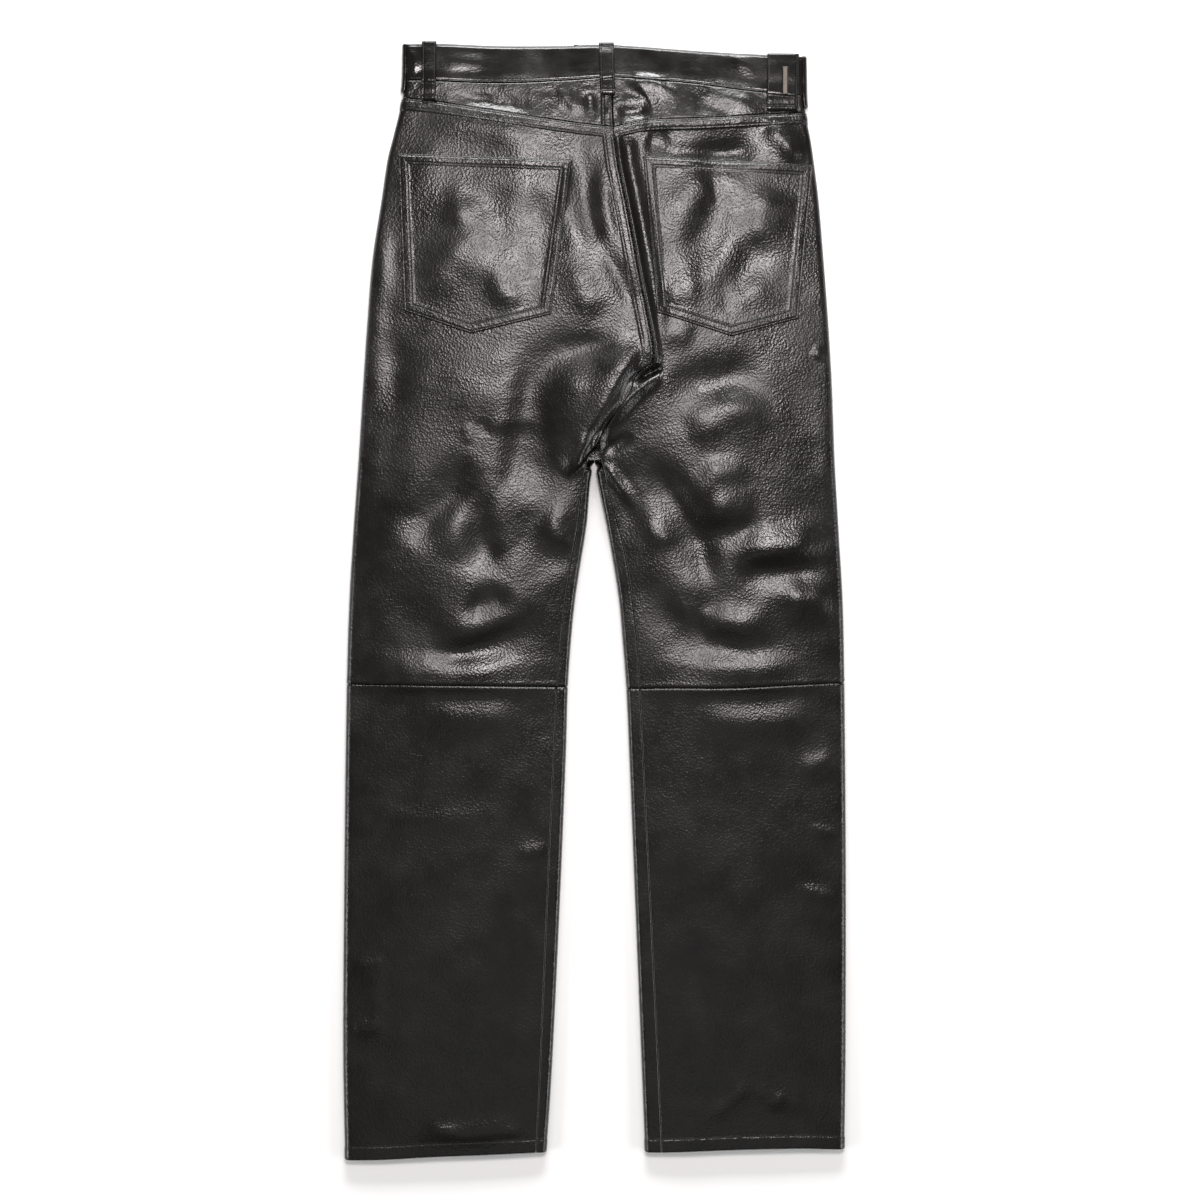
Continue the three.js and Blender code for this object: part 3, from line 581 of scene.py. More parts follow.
def waist_line(x):
    """How far down the waistband's seam lies at a place across the back."""
    middle = CENTRE_BACK["left"][0]
    left = look(SEAM_LINES[-1], "waist", (middle - x) / (middle - outer_edge(-1, 0)), "out")
    right = look(SEAM_LINES[1], "waist", (x - middle) / (outer_edge(1, 0) - middle), "out")
    return np.where(x < middle, left, right)


def unevenness(x, down):
    """The slight waves of a hide that has been worn and folded: broad ones, most of all on the seat, and
    small flat ones that run across the leg. The waistband falls off towards its top edge, and the
    yokes a little too."""
    seat = 0.35 + 0.65 * smooth(down, 50, 110) * (1 - smooth(down, 560, 680))
    bent = x + 12 * drift(x, down, 70, 2)
    broad = 1.2 * drift(bent, down + 0.4 * x, 52, 3)
    middle = 0.2 * drift(bent + 0.3 * down, down, 17, 5)
    across = 0.07 * drift(x / 2.6, down, 9.5, 8)
    small = 0.025 * drift(x, down, 5.2, 13)
    tilt = BAND_FALL * (1 - 0.4 * smooth(np.abs(x - 10), 110, 180))
    waist = waist_line(x)
    up = waist + 2 - down
    fall = tilt * (up + np.hypot(up, 5)) / 2
    yoke = YOKE_ROW - np.maximum(down, waist)
    fall = fall + YOKE_FALL * (yoke + np.hypot(yoke, 8)) / 2 * (1 - smooth(np.abs(x - 10), 120, 175))
    hollow = 0.25 * hump(down, waist - 9, 5) - 0.2 * hump(down, waist, 4)
    return seat * (broad + middle) + across + small - fall - hollow


def low_height(down):
    """Height of the underside, which lies on the table below the front ramp."""
    return (BAND_LIFT + BAND_PROUD) * (1 - smooth(down, *FRONT_RAMP))


def row_down(side, out, row):
    """How far down a row lies at a share of the width, so that rows follow the seams."""
    share = np.clip(out, 0, 1)

    def line(name):
        return look(SEAM_LINES[side], name, share, "out")

    band = mix(line("top"), line("waist"), row / WAIST_ROW)
    even = mix(
        line("waist") + SEAM_EVEN,
        line("yoke") - SEAM_EVEN,
        (row - WAIST_ROW - SEAM_EVEN) / (YOKE_ROW - WAIST_ROW - 2 * SEAM_EVEN),
    )
    yoke = np.where(row < WAIST_ROW + SEAM_EVEN, line("waist") + row - WAIST_ROW, even)
    yoke = np.where(row > YOKE_ROW - SEAM_EVEN, line("yoke") + row - YOKE_ROW, yoke)
    knee = (line("knee") - KNEE_ROW) * smooth(row, KNEE_SLANT[0], KNEE_ROW)
    knee = knee * (1 - smooth(row, KNEE_ROW, KNEE_SLANT[1]))
    leg = row + (line("yoke") - YOKE_ROW) * (1 - smooth(row, YOKE_ROW, YOKE_SLANT_END)) + knee
    leg = leg + (line("hem") - HEM_ROW) * smooth(row, HEM_SLANT_START, HEM_ROW)
    return np.where(row <= WAIST_ROW, band, np.where(row <= YOKE_ROW, yoke, leg))


def place(x, down, z):
    """Points in millimetres, in the part's own frame."""
    return np.stack(np.broadcast_arrays(x, LENGTH / 2 - down, z), -1)


# Surfaces of the panels and of the waistband

def back_surface(side, across, row):
    """A back panel: over the top, round the side fold as half an ellipse, and in on the underside."""
    share = np.clip(across, 0, 1)
    down = row_down(side, share, row)
    turn, low = side_turn(side, down), low_height(down)
    x_top = mix(back_inner(side, down) + side * SEAM_GAP / 2, turn, share)
    z_top = top_height(side, x_top, down)
    angle = np.clip(across - 1, 0, 1) * np.pi
    inwards = mix(ROLL, OUTSEAM_IN - SEAM_GAP / 2, np.clip(across - 2, 0, 1))
    x_round = turn + side * ROLL * np.sin(angle)
    z_round = (z_top + low) / 2 + (z_top - low) / 2 * np.cos(angle)
    x_under = outer_edge(side, down) - side * inwards
    x = np.where(across <= 1, x_top, np.where(across <= 2, x_round, x_under))
    z = np.where(across <= 1, z_top, np.where(across <= 2, z_round, low))
    return place(x, down, z)


def front_surface(side, across, row):
    """A front panel: in along the table, round the inner side of the leg, and on top to the inseam.
    Above the crotch it stays flat and ends at the centre front."""
    down = row_down(side, 1 - across, row)
    low = low_height(down)
    curl = np.clip((down - CROTCH_CURL[0]) / (CROTCH_CURL[1] - CROTCH_CURL[0]), 0, 1)
    edge = inner_edge(side, down)
    seam = inseam(side, down) - side * SEAM_GAP / 2
    turn = edge + side * np.minimum(INNER_ROLL, 0.7 * np.abs(seam - edge))
    end = centre_front(down) + side * SEAM_GAP / 2
    start = outer_edge(side, down) - side * (OUTSEAM_IN + SEAM_GAP / 2)
    x_under = mix(start, mix(end + side * FRONT_EASE, turn, curl), np.clip(across, 0, 1))
    angle = np.clip(across - 1, 0, 1) * np.pi
    x_strip = mix(turn, seam, np.clip(across - 2, 0, 1))
    z_top = top_height(side, x_strip, down)
    x_round = turn + (edge - turn) * np.sin(angle)
    z_round = (z_top + low) / 2 - (z_top - low) / 2 * np.cos(angle)
    curled_x = np.where(across <= 2, x_round, x_strip)
    curled_z = np.where(across <= 2, z_round, z_top)
    flat_x = end + side * FRONT_EASE * (3 - across) / 2
    x = np.where(across <= 1, x_under, mix(flat_x, curled_x, curl))
    z = np.where(across <= 1, low, mix(low, curled_z, curl))
    return place(x, down, z)


def front_troughs(across, base):
    """The front's soft troughs, as negative relief on the stretch that lies on the table."""
    x, down = base[..., 0], LENGTH / 2 - base[..., 1]
    lying = smooth(across, 0, 0.08) * (1 - smooth(across, 0.9, 1))
    deepest = -0.45 * LEATHER
    return lying * np.maximum(sum(fold_rise(fold, x, down) for fold in FRONT_FOLDS), deepest)


def under_share(side, x):
    """The share of the width at a place on the underside, as the front panels count it."""
    inner = centre_front(0) + side * FRONT_EASE
    outer = outer_edge(side, 0) - side * OUTSEAM_IN
    return np.clip((x - inner) / (outer - inner), 0, 1)


def band_surface(over, turn, under, row):
    """The waistband as one strip: under the left front from the centre front, over the left side,
    across the back, over the right side and back below, where its end slips inside."""
    middle = centre_front(0)

    def below(side, end, share):
        x = mix(end, side_turn(side, 0), share)
        down = row_down(side, under_share(side, x), row)
        slip = 0 if side < 0 else 1 - smooth(x, middle + 4, middle + 4 + UNDERLAP_RAMP)
        low = BAND_LIFT + slip * (BAND_LEATHER + SEAM_GAP)
        return place(mix(end, side_turn(side, down), share), down, low)

    def rounded(side, share):
        down = row_down(side, np.ones_like(share), row)
        end = side_turn(side, down)
        top = top_height(side, end, down) + BAND_PROUD
        angle = share * np.pi
        x = end + side * (ROLL + BAND_PROUD) * np.sin(angle)
        return place(x, down, (top + BAND_LIFT) / 2 + (top - BAND_LIFT) / 2 * np.cos(angle))

    def above(side, share):
        down = row_down(side, share, row)
        x = mix(back_inner(side, down), side_turn(side, down), share)
        return place(x, down, top_height(side, x, down) + BAND_PROUD)

    parts = [
        below(-1, middle, under),
        rounded(-1, 1 - turn)[:, 1:],
        above(-1, 1 - over)[:, 1:],
        above(1, over)[:, 1:],
        rounded(1, turn)[:, 1:],
        below(1, middle - BAND_UNDERLAP, 1 - under)[:, 1:],
    ]
    return np.concatenate(parts, 1)


def loop_seat(x, down):
    """Height of what a back loop lies on: the waistband above its seam and the yoke below it."""
    middle = CENTRE_BACK["left"][0]
    side = -1 if np.mean(x) < middle else 1
    share = (x - middle) / (side_turn(side, down) - middle)
    seam = row_down(side, share, np.array(WAIST_ROW))
    on_band = 1 - smooth(down, seam, seam + 3)
    return top_height(side, x, down) + BAND_PROUD * on_band


# Meshes

def outward(points, facing):
    """Unit normals of a grid, from the differences between neighbouring points."""
    normal = np.cross(np.gradient(points, axis=1), np.gradient(points, axis=0)) * facing
    return normal / np.maximum(np.linalg.norm(normal, axis=2, keepdims=True), 1e-9)


def new_piece(name, points, quads, sharp, material):
    """A mesh object from points in millimetres and four-cornered faces, turned to face outwards."""
    a, b, c, d = (points[quads[:, k]] for k in range(4))
    if np.einsum("ij,ij->", a, np.cross(b, c) + np.cross(c, d)) < 0:
        quads = quads[:, ::-1]
    mesh = bpy.data.meshes.new(name)
    mesh.vertices.add(len(points))
    mesh.vertices.foreach_set("co", (points * METRES).astype(np.float32).ravel())
    mesh.loops.add(quads.size)
    mesh.loops.foreach_set("vertex_index", quads.astype(np.int32).ravel())
    mesh.polygons.add(len(quads))
    mesh.polygons.foreach_set("loop_start", np.arange(0, quads.size, 4, dtype=np.int32))
    mesh.polygons.foreach_set("use_smooth", ~sharp)
    mesh.update(calc_edges=True)
    mesh.materials.append(material)
    piece = bpy.data.objects.new(name, mesh)
    bpy.context.scene.collection.objects.link(piece)
    return piece


def wall(name, outer, inner, material):
    """A closed wall between two grids of the same size, with a rim all round."""
    rows, columns = outer.shape[:2]
    count = rows * columns
    index = np.arange(count).reshape(rows, columns)
    face = np.stack([index[:-1, :-1], index[:-1, 1:], index[1:, 1:], index[1:, :-1]], -1).reshape(-1, 4)
    border = np.concatenate([index[0, :-1], index[:-1, -1], index[-1, :0:-1], index[:0:-1, 0]])
    after = np.roll(border, -1)
    rim = np.stack([after, border, border + count, after + count], -1)
    quads = np.concatenate([face, face[:, ::-1] + count, rim])
    sharp = np.zeros(len(quads), bool)
    sharp[2 * len(face):] = True
    points = np.concatenate([outer.reshape(-1, 3), inner.reshape(-1, 3)])
    return new_piece(name, points, quads, sharp, material)


def cloth(name, base, facing, relief, material, thickness=LEATHER):
    """A wall on a grid of points: its outer face is moved out by the relief, its inner face in by
    the thickness."""
    normal = outward(base, facing)
    outer = base + normal * np.broadcast_to(relief, base.shape[:2])[..., None]
    inner = base - normal * np.broadcast_to(thickness, base.shape[:2])[..., None]
    return wall(name, outer, inner, material)


def edge_round(distance, depth=0.7, width=1.4):
    """How far a cut or turned edge rounds down: its depth at the edge, nil past the width."""
    return -depth * np.clip(1 - distance / width, 0, 1) ** 2


def seam_band(distance):
    """A turned and twice stitched edge: a raised band with a groove along each stitch line."""
    band = SEAM_RISE * (1 - smooth(distance, SEAM_BAND - 0.6, SEAM_BAND + 1.6))
    grooves = hump(distance, FIRST_STITCH, GROOVE_WIDTH) + hump(distance, SECOND_STITCH, GROOVE_WIDTH)
    return band + edge_round(distance, 0.8, 1.2) - 0.5 * grooves * (distance > 0)


def thread_line(path, height, spacing, closed=False):
    """Points along a path of x and down, a spacing apart, with their height, and the direction of
    the path at each."""
    path = np.asarray(path, float)
    if closed:
        path = np.concatenate([path, path[:1]])
    lengths = np.concatenate([[0], np.cumsum(np.linalg.norm(np.diff(path, axis=0), axis=1))])
    at = np.arange(spacing / 2, lengths[-1], spacing)
    ends = [np.stack([np.interp(at + off, lengths, path[:, k]) for k in (0, 1)], -1) for off in (-0.4, 0.4)]
    points = [place(end[:, 0], end[:, 1], height(end[:, 0], end[:, 1])) for end in ends]
    return (points[0] + points[1]) / 2, points[1] - points[0]


def stitches(name, lines, length, radius, material):
    """Every stitch as a short thread with round, dipping ends: a six-sided tube of four rings along
    the seam, its radius and height following half a circle."""
    centres = np.concatenate([line[0] for line in lines])
    along = np.concatenate([line[1] for line in lines])
    along /= np.linalg.norm(along, axis=1, keepdims=True)
    over = np.cross(along, np.cross((0, 0, 1.0), along))
    over /= np.linalg.norm(over, axis=1, keepdims=True)
    beside = np.cross(over, along)
    step = np.array([-0.5, -0.25, 0.25, 0.5])
    swell = np.array([0.4, 1, 1, 0.4])
    rise = np.array([-0.7, 0.1, 0.1, -0.7])
    turn = np.arange(6) / 6 * 2 * np.pi
    ring_side = np.cos(turn)[None, :] * swell[:, None] * radius
    ring_over = (np.sin(turn)[None, :] * swell[:, None] + rise[:, None]) * radius
    count, rings, sides = len(centres), len(step), len(turn)
    points = (
        centres[:, None, None]
        + along[:, None, None] * (step * length)[None, :, None, None]
        + beside[:, None, None] * ring_side[None, :, :, None]
        + over[:, None, None] * ring_over[None, :, :, None]
    )
    ring = np.arange(rings - 1)[:, None] * sides + np.arange(sides)[None, :]
    ring_next = np.arange(rings - 1)[:, None] * sides + (np.arange(sides)[None, :] + 1) % sides
    body = np.stack([ring, ring_next, ring_next + sides, ring + sides], -1).reshape(-1, 4)
    first_cap = np.array([(3, 2, 1, 0), (5, 4, 3, 0)])
    last_cap = np.array([(0, 1, 2, 3), (0, 3, 4, 5)]) + (rings - 1) * sides
    one = np.concatenate([body, first_cap, last_cap])
    quads = (np.arange(count)[:, None, None] * rings * sides + one[None]).reshape(-1, 4)
    return new_piece(name, points.reshape(-1, 3), quads, np.zeros(len(quads), bool), material)


def dress(piece, node, *rests_on):
    """Hangs a piece of leather on the root body and hides the imported part of the same name. The pieces
    that it rides on are not used.
    """
    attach(piece, "root")
    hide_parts(node)


# Materials

def linear(hex_colour):
    """An sRGB hex colour as the linear colour that Blender uses."""
    values = np.array([int(hex_colour[k : k + 2], 16) for k in (1, 3, 5)]) / 255
    values = np.where(values <= 0.04045, values / 12.92, ((values + 0.055) / 1.055) ** 2.4)
    return (*values, 1.0)


def add(tree, kind, inputs=None, **settings):
    """Adds a node with its settings, and fills its inputs with values or links."""
    node = tree.nodes.new(kind)
    for name, value in settings.items():
        setattr(node, name, value)
    for name, value in (inputs or {}).items():
        if isinstance(value, bpy.types.NodeSocket):
            tree.links.new(value, node.inputs[name])
        else:
            node.inputs[name].default_value = value
    return node


def new_material(name):
    """A material with an empty node tree."""
    material = bpy.data.materials.get(name)
    if material:
        return material, None
    material = bpy.data.materials.new(name)
    material.use_nodes = True
    material.node_tree.nodes.clear()
    return material, material.node_tree


def noise(tree, vector, size, detail, roughness=0.5):
    """A noise texture whose largest features are about a size in millimetres across."""
    scale = 1 / (size * METRES)
    inputs = {"Vector": vector, "Scale": scale, "Detail": detail, "Roughness": roughness}
    return add(tree, "ShaderNodeTexNoise", inputs).outputs["Fac"]


def bump(tree, strength, distance, height, normal=None):
    """A bump node's normal: relief of a depth in metres, laid over an earlier one if given."""
    inputs = {"Strength": strength, "Distance": distance, "Height": height}
    if normal is not None:
        inputs["Normal"] = normal
    return add(tree, "ShaderNodeBump", inputs).outputs["Normal"]


def ranged(tree, value, low, high, start=0, stop=1):
    """A value brought from start..stop to low..high."""
    inputs = {"Value": value, "From Min": start, "From Max": stop, "To Min": low, "To Max": high}
    return add(tree, "ShaderNodeMapRange", inputs).outputs["Result"]


def surface(tree, inputs):
    """The shader of a material, with its inputs."""
    shader = add(tree, "ShaderNodeBsdfPrincipled", inputs)
    add(tree, "ShaderNodeOutputMaterial", {"Surface": shader.outputs["BSDF"]})


def nappa_leather(name="black_nappa_leather", grain_depth=0.45, smoother=0):
    """Black cowhide, aniline dyed with a thin satin topcoat. The topcoat gives broad grey lights, and
    the pebbled grain breaks them up. The grain is drawn about twice its real size, so that it shows
    in the render."""
    material, tree = new_material(name)
    if tree is None:
        return material
    finish = bpy.context.scene.trousers_finish
    coords = add(tree, "ShaderNodeTexCoord").outputs["Object"]
    pebble = add(
        tree,
        "ShaderNodeTexVoronoi",
        {"Vector": coords, "Scale": 1 / (finish.grain_size * METRES), "Smoothness": 0.5},
        feature="SMOOTH_F1",
    )
    pores = noise(tree, coords, 2.4, 3.0, 0.6)
    blotch = noise(tree, coords, 38, 3.0, 0.55)
    smoothest = finish.roughness - smoother - 0.06
    tone = add(
        tree,
        "ShaderNodeMix",
        {0: blotch, 6: linear("#0d0c0b"), 7: linear("#151312")},
        data_type="RGBA",
    )
    grain = bump(tree, grain_depth, 0.0004, pores)
    surface(
        tree,
        {
            "Base Color": tone.outputs[2],
            "Roughness": ranged(tree, blotch, smoothest, smoothest + 0.14, 0.3, 0.7),
            "IOR": 1.5,
            "Specular IOR Level": 0.5,
            "Normal": bump(tree, grain_depth, 0.00045, pebble.outputs["Distance"], grain),
        },
    )
    return material


def pressed_leather():
    """The same hide where it is folded double and pressed, on the waistband and the loops: its grain
    is flatter, so its lights are narrower and the rest of it stays darker."""
    return nappa_leather("black_nappa_leather_pressed", 0.2, 0.08)


def stretched_leather():
    """The same hide where it is drawn flat below the waistband, on the yokes: its grain is shallower
    than on the seat, so it shines in fewer places."""
    return nappa_leather("black_nappa_leather_stretched", 0.36, 0.02)


def bonded_thread():
    """Black bonded nylon thread, twisted and waxed: a little lighter than the hide, with a soft sheen
    along its twist."""
    material, tree = new_material("black_bonded_thread")
    if tree is None:
        return material
    coords = add(tree, "ShaderNodeTexCoord").outputs["Object"]
    surface(
        tree,
        {
            "Base Color": linear("#141312"),
            "Roughness": 0.55,
            "Sheen Weight": 0.2,
            "Normal": bump(tree, 0.4, 0.0002, noise(tree, coords, 0.4, 1.0)),
        },
    )
    return material


def brushed_steel():
    """Stainless steel, brushed along its length: fine streaks 0.3 mm apart that stretch the lights."""
    material, tree = new_material("brushed_stainless_steel")
    if tree is None:
        return material
    coords = add(tree, "ShaderNodeTexCoord").outputs["Object"]
    streaks = (3300.0, 120.0, 3300.0)
    stretched = add(tree, "ShaderNodeMapping", {"Vector": coords, "Scale": streaks})
    streak = noise(tree, stretched.outputs["Vector"], 1 / METRES, 2.0)
    surface(
        tree,
        {
            "Base Color": linear("#4b4743"),
            "Metallic": 1.0,
            "Roughness": ranged(tree, streak, 0.36, 0.5),
            "Normal": bump(tree, 0.2, 0.0001, streak),
        },
    )
    return material


def matt_table():
    """A white laminate table: plain, pale and matt, so that it shows nothing but soft shadows."""
    material, tree = new_material("white_matt_laminate")
    if tree is None:
        return material
    surface(tree, {"Base Color": linear("#f4f4f4"), "Roughness": 0.9, "Specular IOR Level": 0.1})
    return material


# Settings that a user would change

class TrousersSizes(bpy.types.PropertyGroup):
    """Sizes of the sewing."""

    stitch_pitch: bpy.props.FloatProperty(
        name="Stitch pitch",
        description="Distance from one stitch to the next",
        default=0.0026,
        unit="LENGTH",
    )
    stitch_length: bpy.props.FloatProperty(
        name="Stitch length",
        description="Length of the thread that shows of one stitch",
        default=0.002,
        unit="LENGTH",
    )
    thread_radius: bpy.props.FloatProperty(
        name="Thread radius",
        description="Half the thickness of the thread",
        default=0.00032,
        unit="LENGTH",
    )


class TrousersFinish(bpy.types.PropertyGroup):
    """The finish of the hide."""

    roughness: bpy.props.FloatProperty(
        name="Roughness",
        description="Mean roughness of the topcoat",
        default=0.27,
        min=0,
        max=1,
        subtype="FACTOR",
    )
    grain_size: bpy.props.FloatProperty(
        name="Grain size",
        description="Width of one pebble of the grain, in millimetres",
        default=2.0,
        min=0.2,
    )


# Operators, one for each group of like pieces and one for the stage

TURN = np.linspace(0, 1, 11)
ROUND = (1 + TURN, (2, 2.5, 3))
UPPER_STEP = 2.6
SEAM_STEP = 0.6


def seam_columns(width):
    """Shares of a panel's width, close together beside the centre seam and wider further out."""
    near, middle = evenly(0, 14, SEAM_STEP) / width, evenly(14, 66, 1.5) / width
    return chain(near, middle, evenly(middle[-1], 1, UPPER_STEP / width))


KNEE_ROWS = evenly(KNEE_ROW - 7, KNEE_ROW - SEAM_GAP / 2, 0.7)


def lower_panel_rows(step):
    """Rows of a panel below the knee: close together at the knee seam and at the hem's stitch line."""
    rows = chain(
        evenly(KNEE_ROW + SEAM_GAP / 2, KNEE_ROW + 6, 0.7),
        evenly(KNEE_ROW + 6, HEM_ROW - 16, step),
        evenly(HEM_ROW - 16, HEM_ROW - 10, 0.6),
        evenly(HEM_ROW - 10, HEM_ROW - 2, 2),
        evenly(HEM_ROW - 2, HEM_ROW, 0.5),
    )
    return rows[:, None]


def back_relief(side, base, row):
    """The raised seam bands along the yoke seam and the centre back, and rounded panel edges."""
    x, down = base[..., 0], LENGTH / 2 - base[..., 1]
    on_top = (x * side < side_turn(side, down) * side) & (base[..., 2] > UNDERSIDE)
    centre = np.where(on_top, (x - back_inner(side, down)) * side, FAR)
    seat = 1 - smooth(down, *SEAT_SEAM_END)
    band = seam_band(centre) * seat if side < 0 else edge_round(centre, 0.8, 1.5) * seat
    plain = edge_round(centre, 0.5, 1.2) * (1 - seat)
    if side < 0:
        rolled = smooth(down, *CROTCH_FOLD[:2]) * (1 - smooth(down, *CROTCH_FOLD[2:]))
        plain = plain + edge_round(centre, 5.5, 9) * rolled
    top = seam_band(row - YOKE_ROW) + 0 * x
    pucker = 0.18 * drift(x, down, 5.5, 21) * hump(row - YOKE_ROW, 5, 8)
    knee = edge_round(KNEE_ROW - row, 0.9, 2.2) + 0.25 * hump(KNEE_ROW - row, 3.2, 2.2)
    both = np.where(band + top > 0, np.maximum(band, top), np.minimum(band, 0))
    return both + plain + pucker + knee


class TROUSERS_OT_back_panels(bpy.types.Operator):
    """Builds the four back panels, above and below the knee seams"""

    bl_idname = "trousers.back_panels"
    bl_label = "Back panels"

    def execute(self, context):
        leather = nappa_leather()
        upper_rows = chain(
            evenly(YOKE_ROW + SEAM_GAP / 2, YOKE_ROW + 12.15, SEAM_STEP),
            evenly(YOKE_ROW + 12.15, 300, UPPER_STEP),
            evenly(300, 432, 1.3),
            evenly(432, KNEE_ROW - 7, UPPER_STEP),
            KNEE_ROWS,
        )[:, None]
        lower_rows = lower_panel_rows(3.2)
        beside = 6 / PANEL_WIDTH
        for side in (-1, 1):
            word = half(side)
            across = chain(seam_columns(PANEL_WIDTH), *ROUND)[None]
            base = back_surface(side, across, upper_rows)
            name = f"back_leg_upper_{word}"
            piece = cloth(name, base, -side, back_relief(side, base, upper_rows), leather)
            dress(piece, name, f"front_leg_upper_{word}")
            near = evenly(0, beside, 0.75 / PANEL_WIDTH)
            across = chain(near, evenly(beside, 1, 3.2 / PANEL_WIDTH), *ROUND)[None]
            base = back_surface(side, across, lower_rows)
            relief = lower_relief(across * PANEL_WIDTH, lower_rows)
            relief = np.where(across < 2, relief, np.minimum(relief, 0))
            name = f"back_leg_lower_{word}"
            piece = cloth(name, base, -side, relief, leather, hem_wall(lower_rows))
            dress(piece, name, f"front_leg_lower_{word}")
        return {"FINISHED"}


def lower_relief(from_seam, row):
    """A panel below the knee: rounded edges along the knee seam, the inseam and the hem, the turned
    hem that stands a little proud, and the groove of its stitch line."""
    knee = edge_round(row - KNEE_ROW, 1.1, 1.8)
    hem = edge_round(HEM_ROW - row, 1.2, 1.6)
    groove = -0.35 * hump(HEM_ROW - row, HEM_DEPTH, GROOVE_WIDTH)
    turned = 0.45 * (1 - smooth(HEM_ROW - row, HEM_DEPTH, HEM_DEPTH + 1.8))
    return knee + hem + groove + turned + edge_round(from_seam, 0.4, 1.2)


def hem_wall(row):
    """Thickness of the wall: the hem is turned up, so it is nearly twice as thick."""
    return mix(HEM_LEATHER, LEATHER, smooth(HEM_ROW - row, HEM_DEPTH - 1, HEM_DEPTH))


class TROUSERS_OT_front_panels(bpy.types.Operator):
    """Builds the four front panels, whose inner edges show on the back as far as the inseam"""

    bl_idname = "trousers.front_panels"
    bl_label = "Front panels"

    def execute(self, context):
        leather = nappa_leather()
        upper_rows = chain(
            evenly(WAIST_ROW + SEAM_GAP / 2, YOKE_ROW - SEAM_GAP / 2, 5),
            (YOKE_ROW - SEAM_GAP / 2, YOKE_ROW + SEAM_GAP / 2),
            evenly(YOKE_ROW + SEAM_GAP / 2, CROTCH_CURL[0], 4.5),
            evenly(CROTCH_CURL[0], CROTCH_CURL[1], 0.8),
            evenly(CROTCH_CURL[1], 430, 1.5),
            evenly(430, KNEE_ROW - 7, UPPER_STEP),
            KNEE_ROWS,
        )[:, None]
        lower_rows = lower_panel_rows(4)
        across = chain(evenly(0, 1, 1 / 32), 1 + TURN, evenly(2, 3, 1 / 10))[None]
        for side in (-1, 1):
            word = half(side)
            base = front_surface(side, across, upper_rows)
            knee = edge_round(KNEE_ROW - upper_rows, 0.9, 2.2) * (across > 1)
            relief = knee + edge_round((3 - across) * STRIP_WIDTH, 0.4, 1.2) * (across > 2)
            relief = relief + front_troughs(across, base)
            name = f"front_leg_upper_{word}"
            dress(cloth(name, base, -side, relief, leather), name, "floor")
            base = front_surface(side, across, lower_rows)
            strip = lower_relief((3 - across) * STRIP_WIDTH, lower_rows) * (across > 1)
            relief = strip + front_troughs(across, base)
            name = f"front_leg_lower_{word}"
            dress(cloth(name, base, -side, relief, leather, hem_wall(lower_rows)), name, "floor")
        return {"FINISHED"}


class TROUSERS_OT_yokes(bpy.types.Operator):
    """Builds the two back yokes"""

    bl_idname = "trousers.yokes"
    bl_label = "Yokes"

    def execute(self, context):
        leather = stretched_leather()
        rows = chain(
            evenly(WAIST_ROW + SEAM_GAP / 2, WAIST_ROW + 4, 0.7),
            evenly(WAIST_ROW + 4, YOKE_ROW - 4, 2),
            evenly(YOKE_ROW - 4, YOKE_ROW - SEAM_GAP / 2, 0.7),
        )[:, None]
        for side in (-1, 1):
            word = half(side)
            across = chain(seam_columns(PANEL_WIDTH), *ROUND)[None]
            base = back_surface(side, across, rows)
            x, down = base[..., 0], LENGTH / 2 - base[..., 1]
            centre = np.where(base[..., 2] > UNDERSIDE, (x - back_inner(side, down)) * side, FAR)
            band = seam_band(centre) if side < 0 else edge_round(centre, 0.8, 1.5)
            relief = band + edge_round(YOKE_ROW - rows, 0.7, 2) + edge_round(rows - WAIST_ROW, 0.5, 2)
            relief = relief + 0.2 * drift(x, down, 6, 22)
            piece = cloth(f"yoke_{word}", base, -side, relief, leather)
            dress(piece, f"yoke_{word}", f"front_leg_upper_{word}")
        return {"FINISHED"}


class TROUSERS_OT_waistband(bpy.types.Operator):
    """Builds the waistband as one strip with an underlap at the front"""

    bl_idname = "trousers.waistband"
    bl_label = "Waistband"

    def execute(self, context):
        rows = chain(
            evenly(0, 3, 0.5),
            evenly(3, WAIST_ROW - 4, 1.6),
            evenly(WAIST_ROW - 4, WAIST_ROW - SEAM_GAP / 2, 0.5),
        )[:, None]
        share = np.linspace(0, 1, 80)[None]
        base = band_surface(share, TURN[None], np.linspace(0, 1, 60)[None], rows)
        x, down = base[..., 0], LENGTH / 2 - base[..., 1]
        from_seam = WAIST_ROW - rows
        grooves = hump(from_seam, FIRST_STITCH, GROOVE_WIDTH) + hump(rows, FIRST_STITCH, GROOVE_WIDTH)
        relief = edge_round(rows, 1.2, 1.8) + edge_round(from_seam, 0.9, 1.6) - 0.3 * grooves
        pucker = 0.1 * drift(x, down, 9, 31) + 0.08 * drift(x, down / 3, 3.4, 32)
        relief = relief + pucker * (base[..., 2] > UNDERSIDE)
        piece = cloth("waistband", base, -1, relief, pressed_leather(), BAND_LEATHER)
        dress(piece, "waistband", "front_leg_upper_left", "front_leg_upper_right")
        return {"FINISHED"}


def edge_distance(corners, x, down):
    """Distance to the nearest edge of a pocket's outline."""
    best = np.full(np.broadcast(x, down).shape, np.inf)
    for start, stop in zip(corners, np.roll(corners, -1, axis=0)):
        run = stop - start
        share = np.clip(((x - start[0]) * run[0] + (down - start[1]) * run[1]) / (run @ run), 0, 1)
        best = np.minimum(best, np.hypot(x - start[0] - share * run[0], down - start[1] - share * run[1]))
    return best


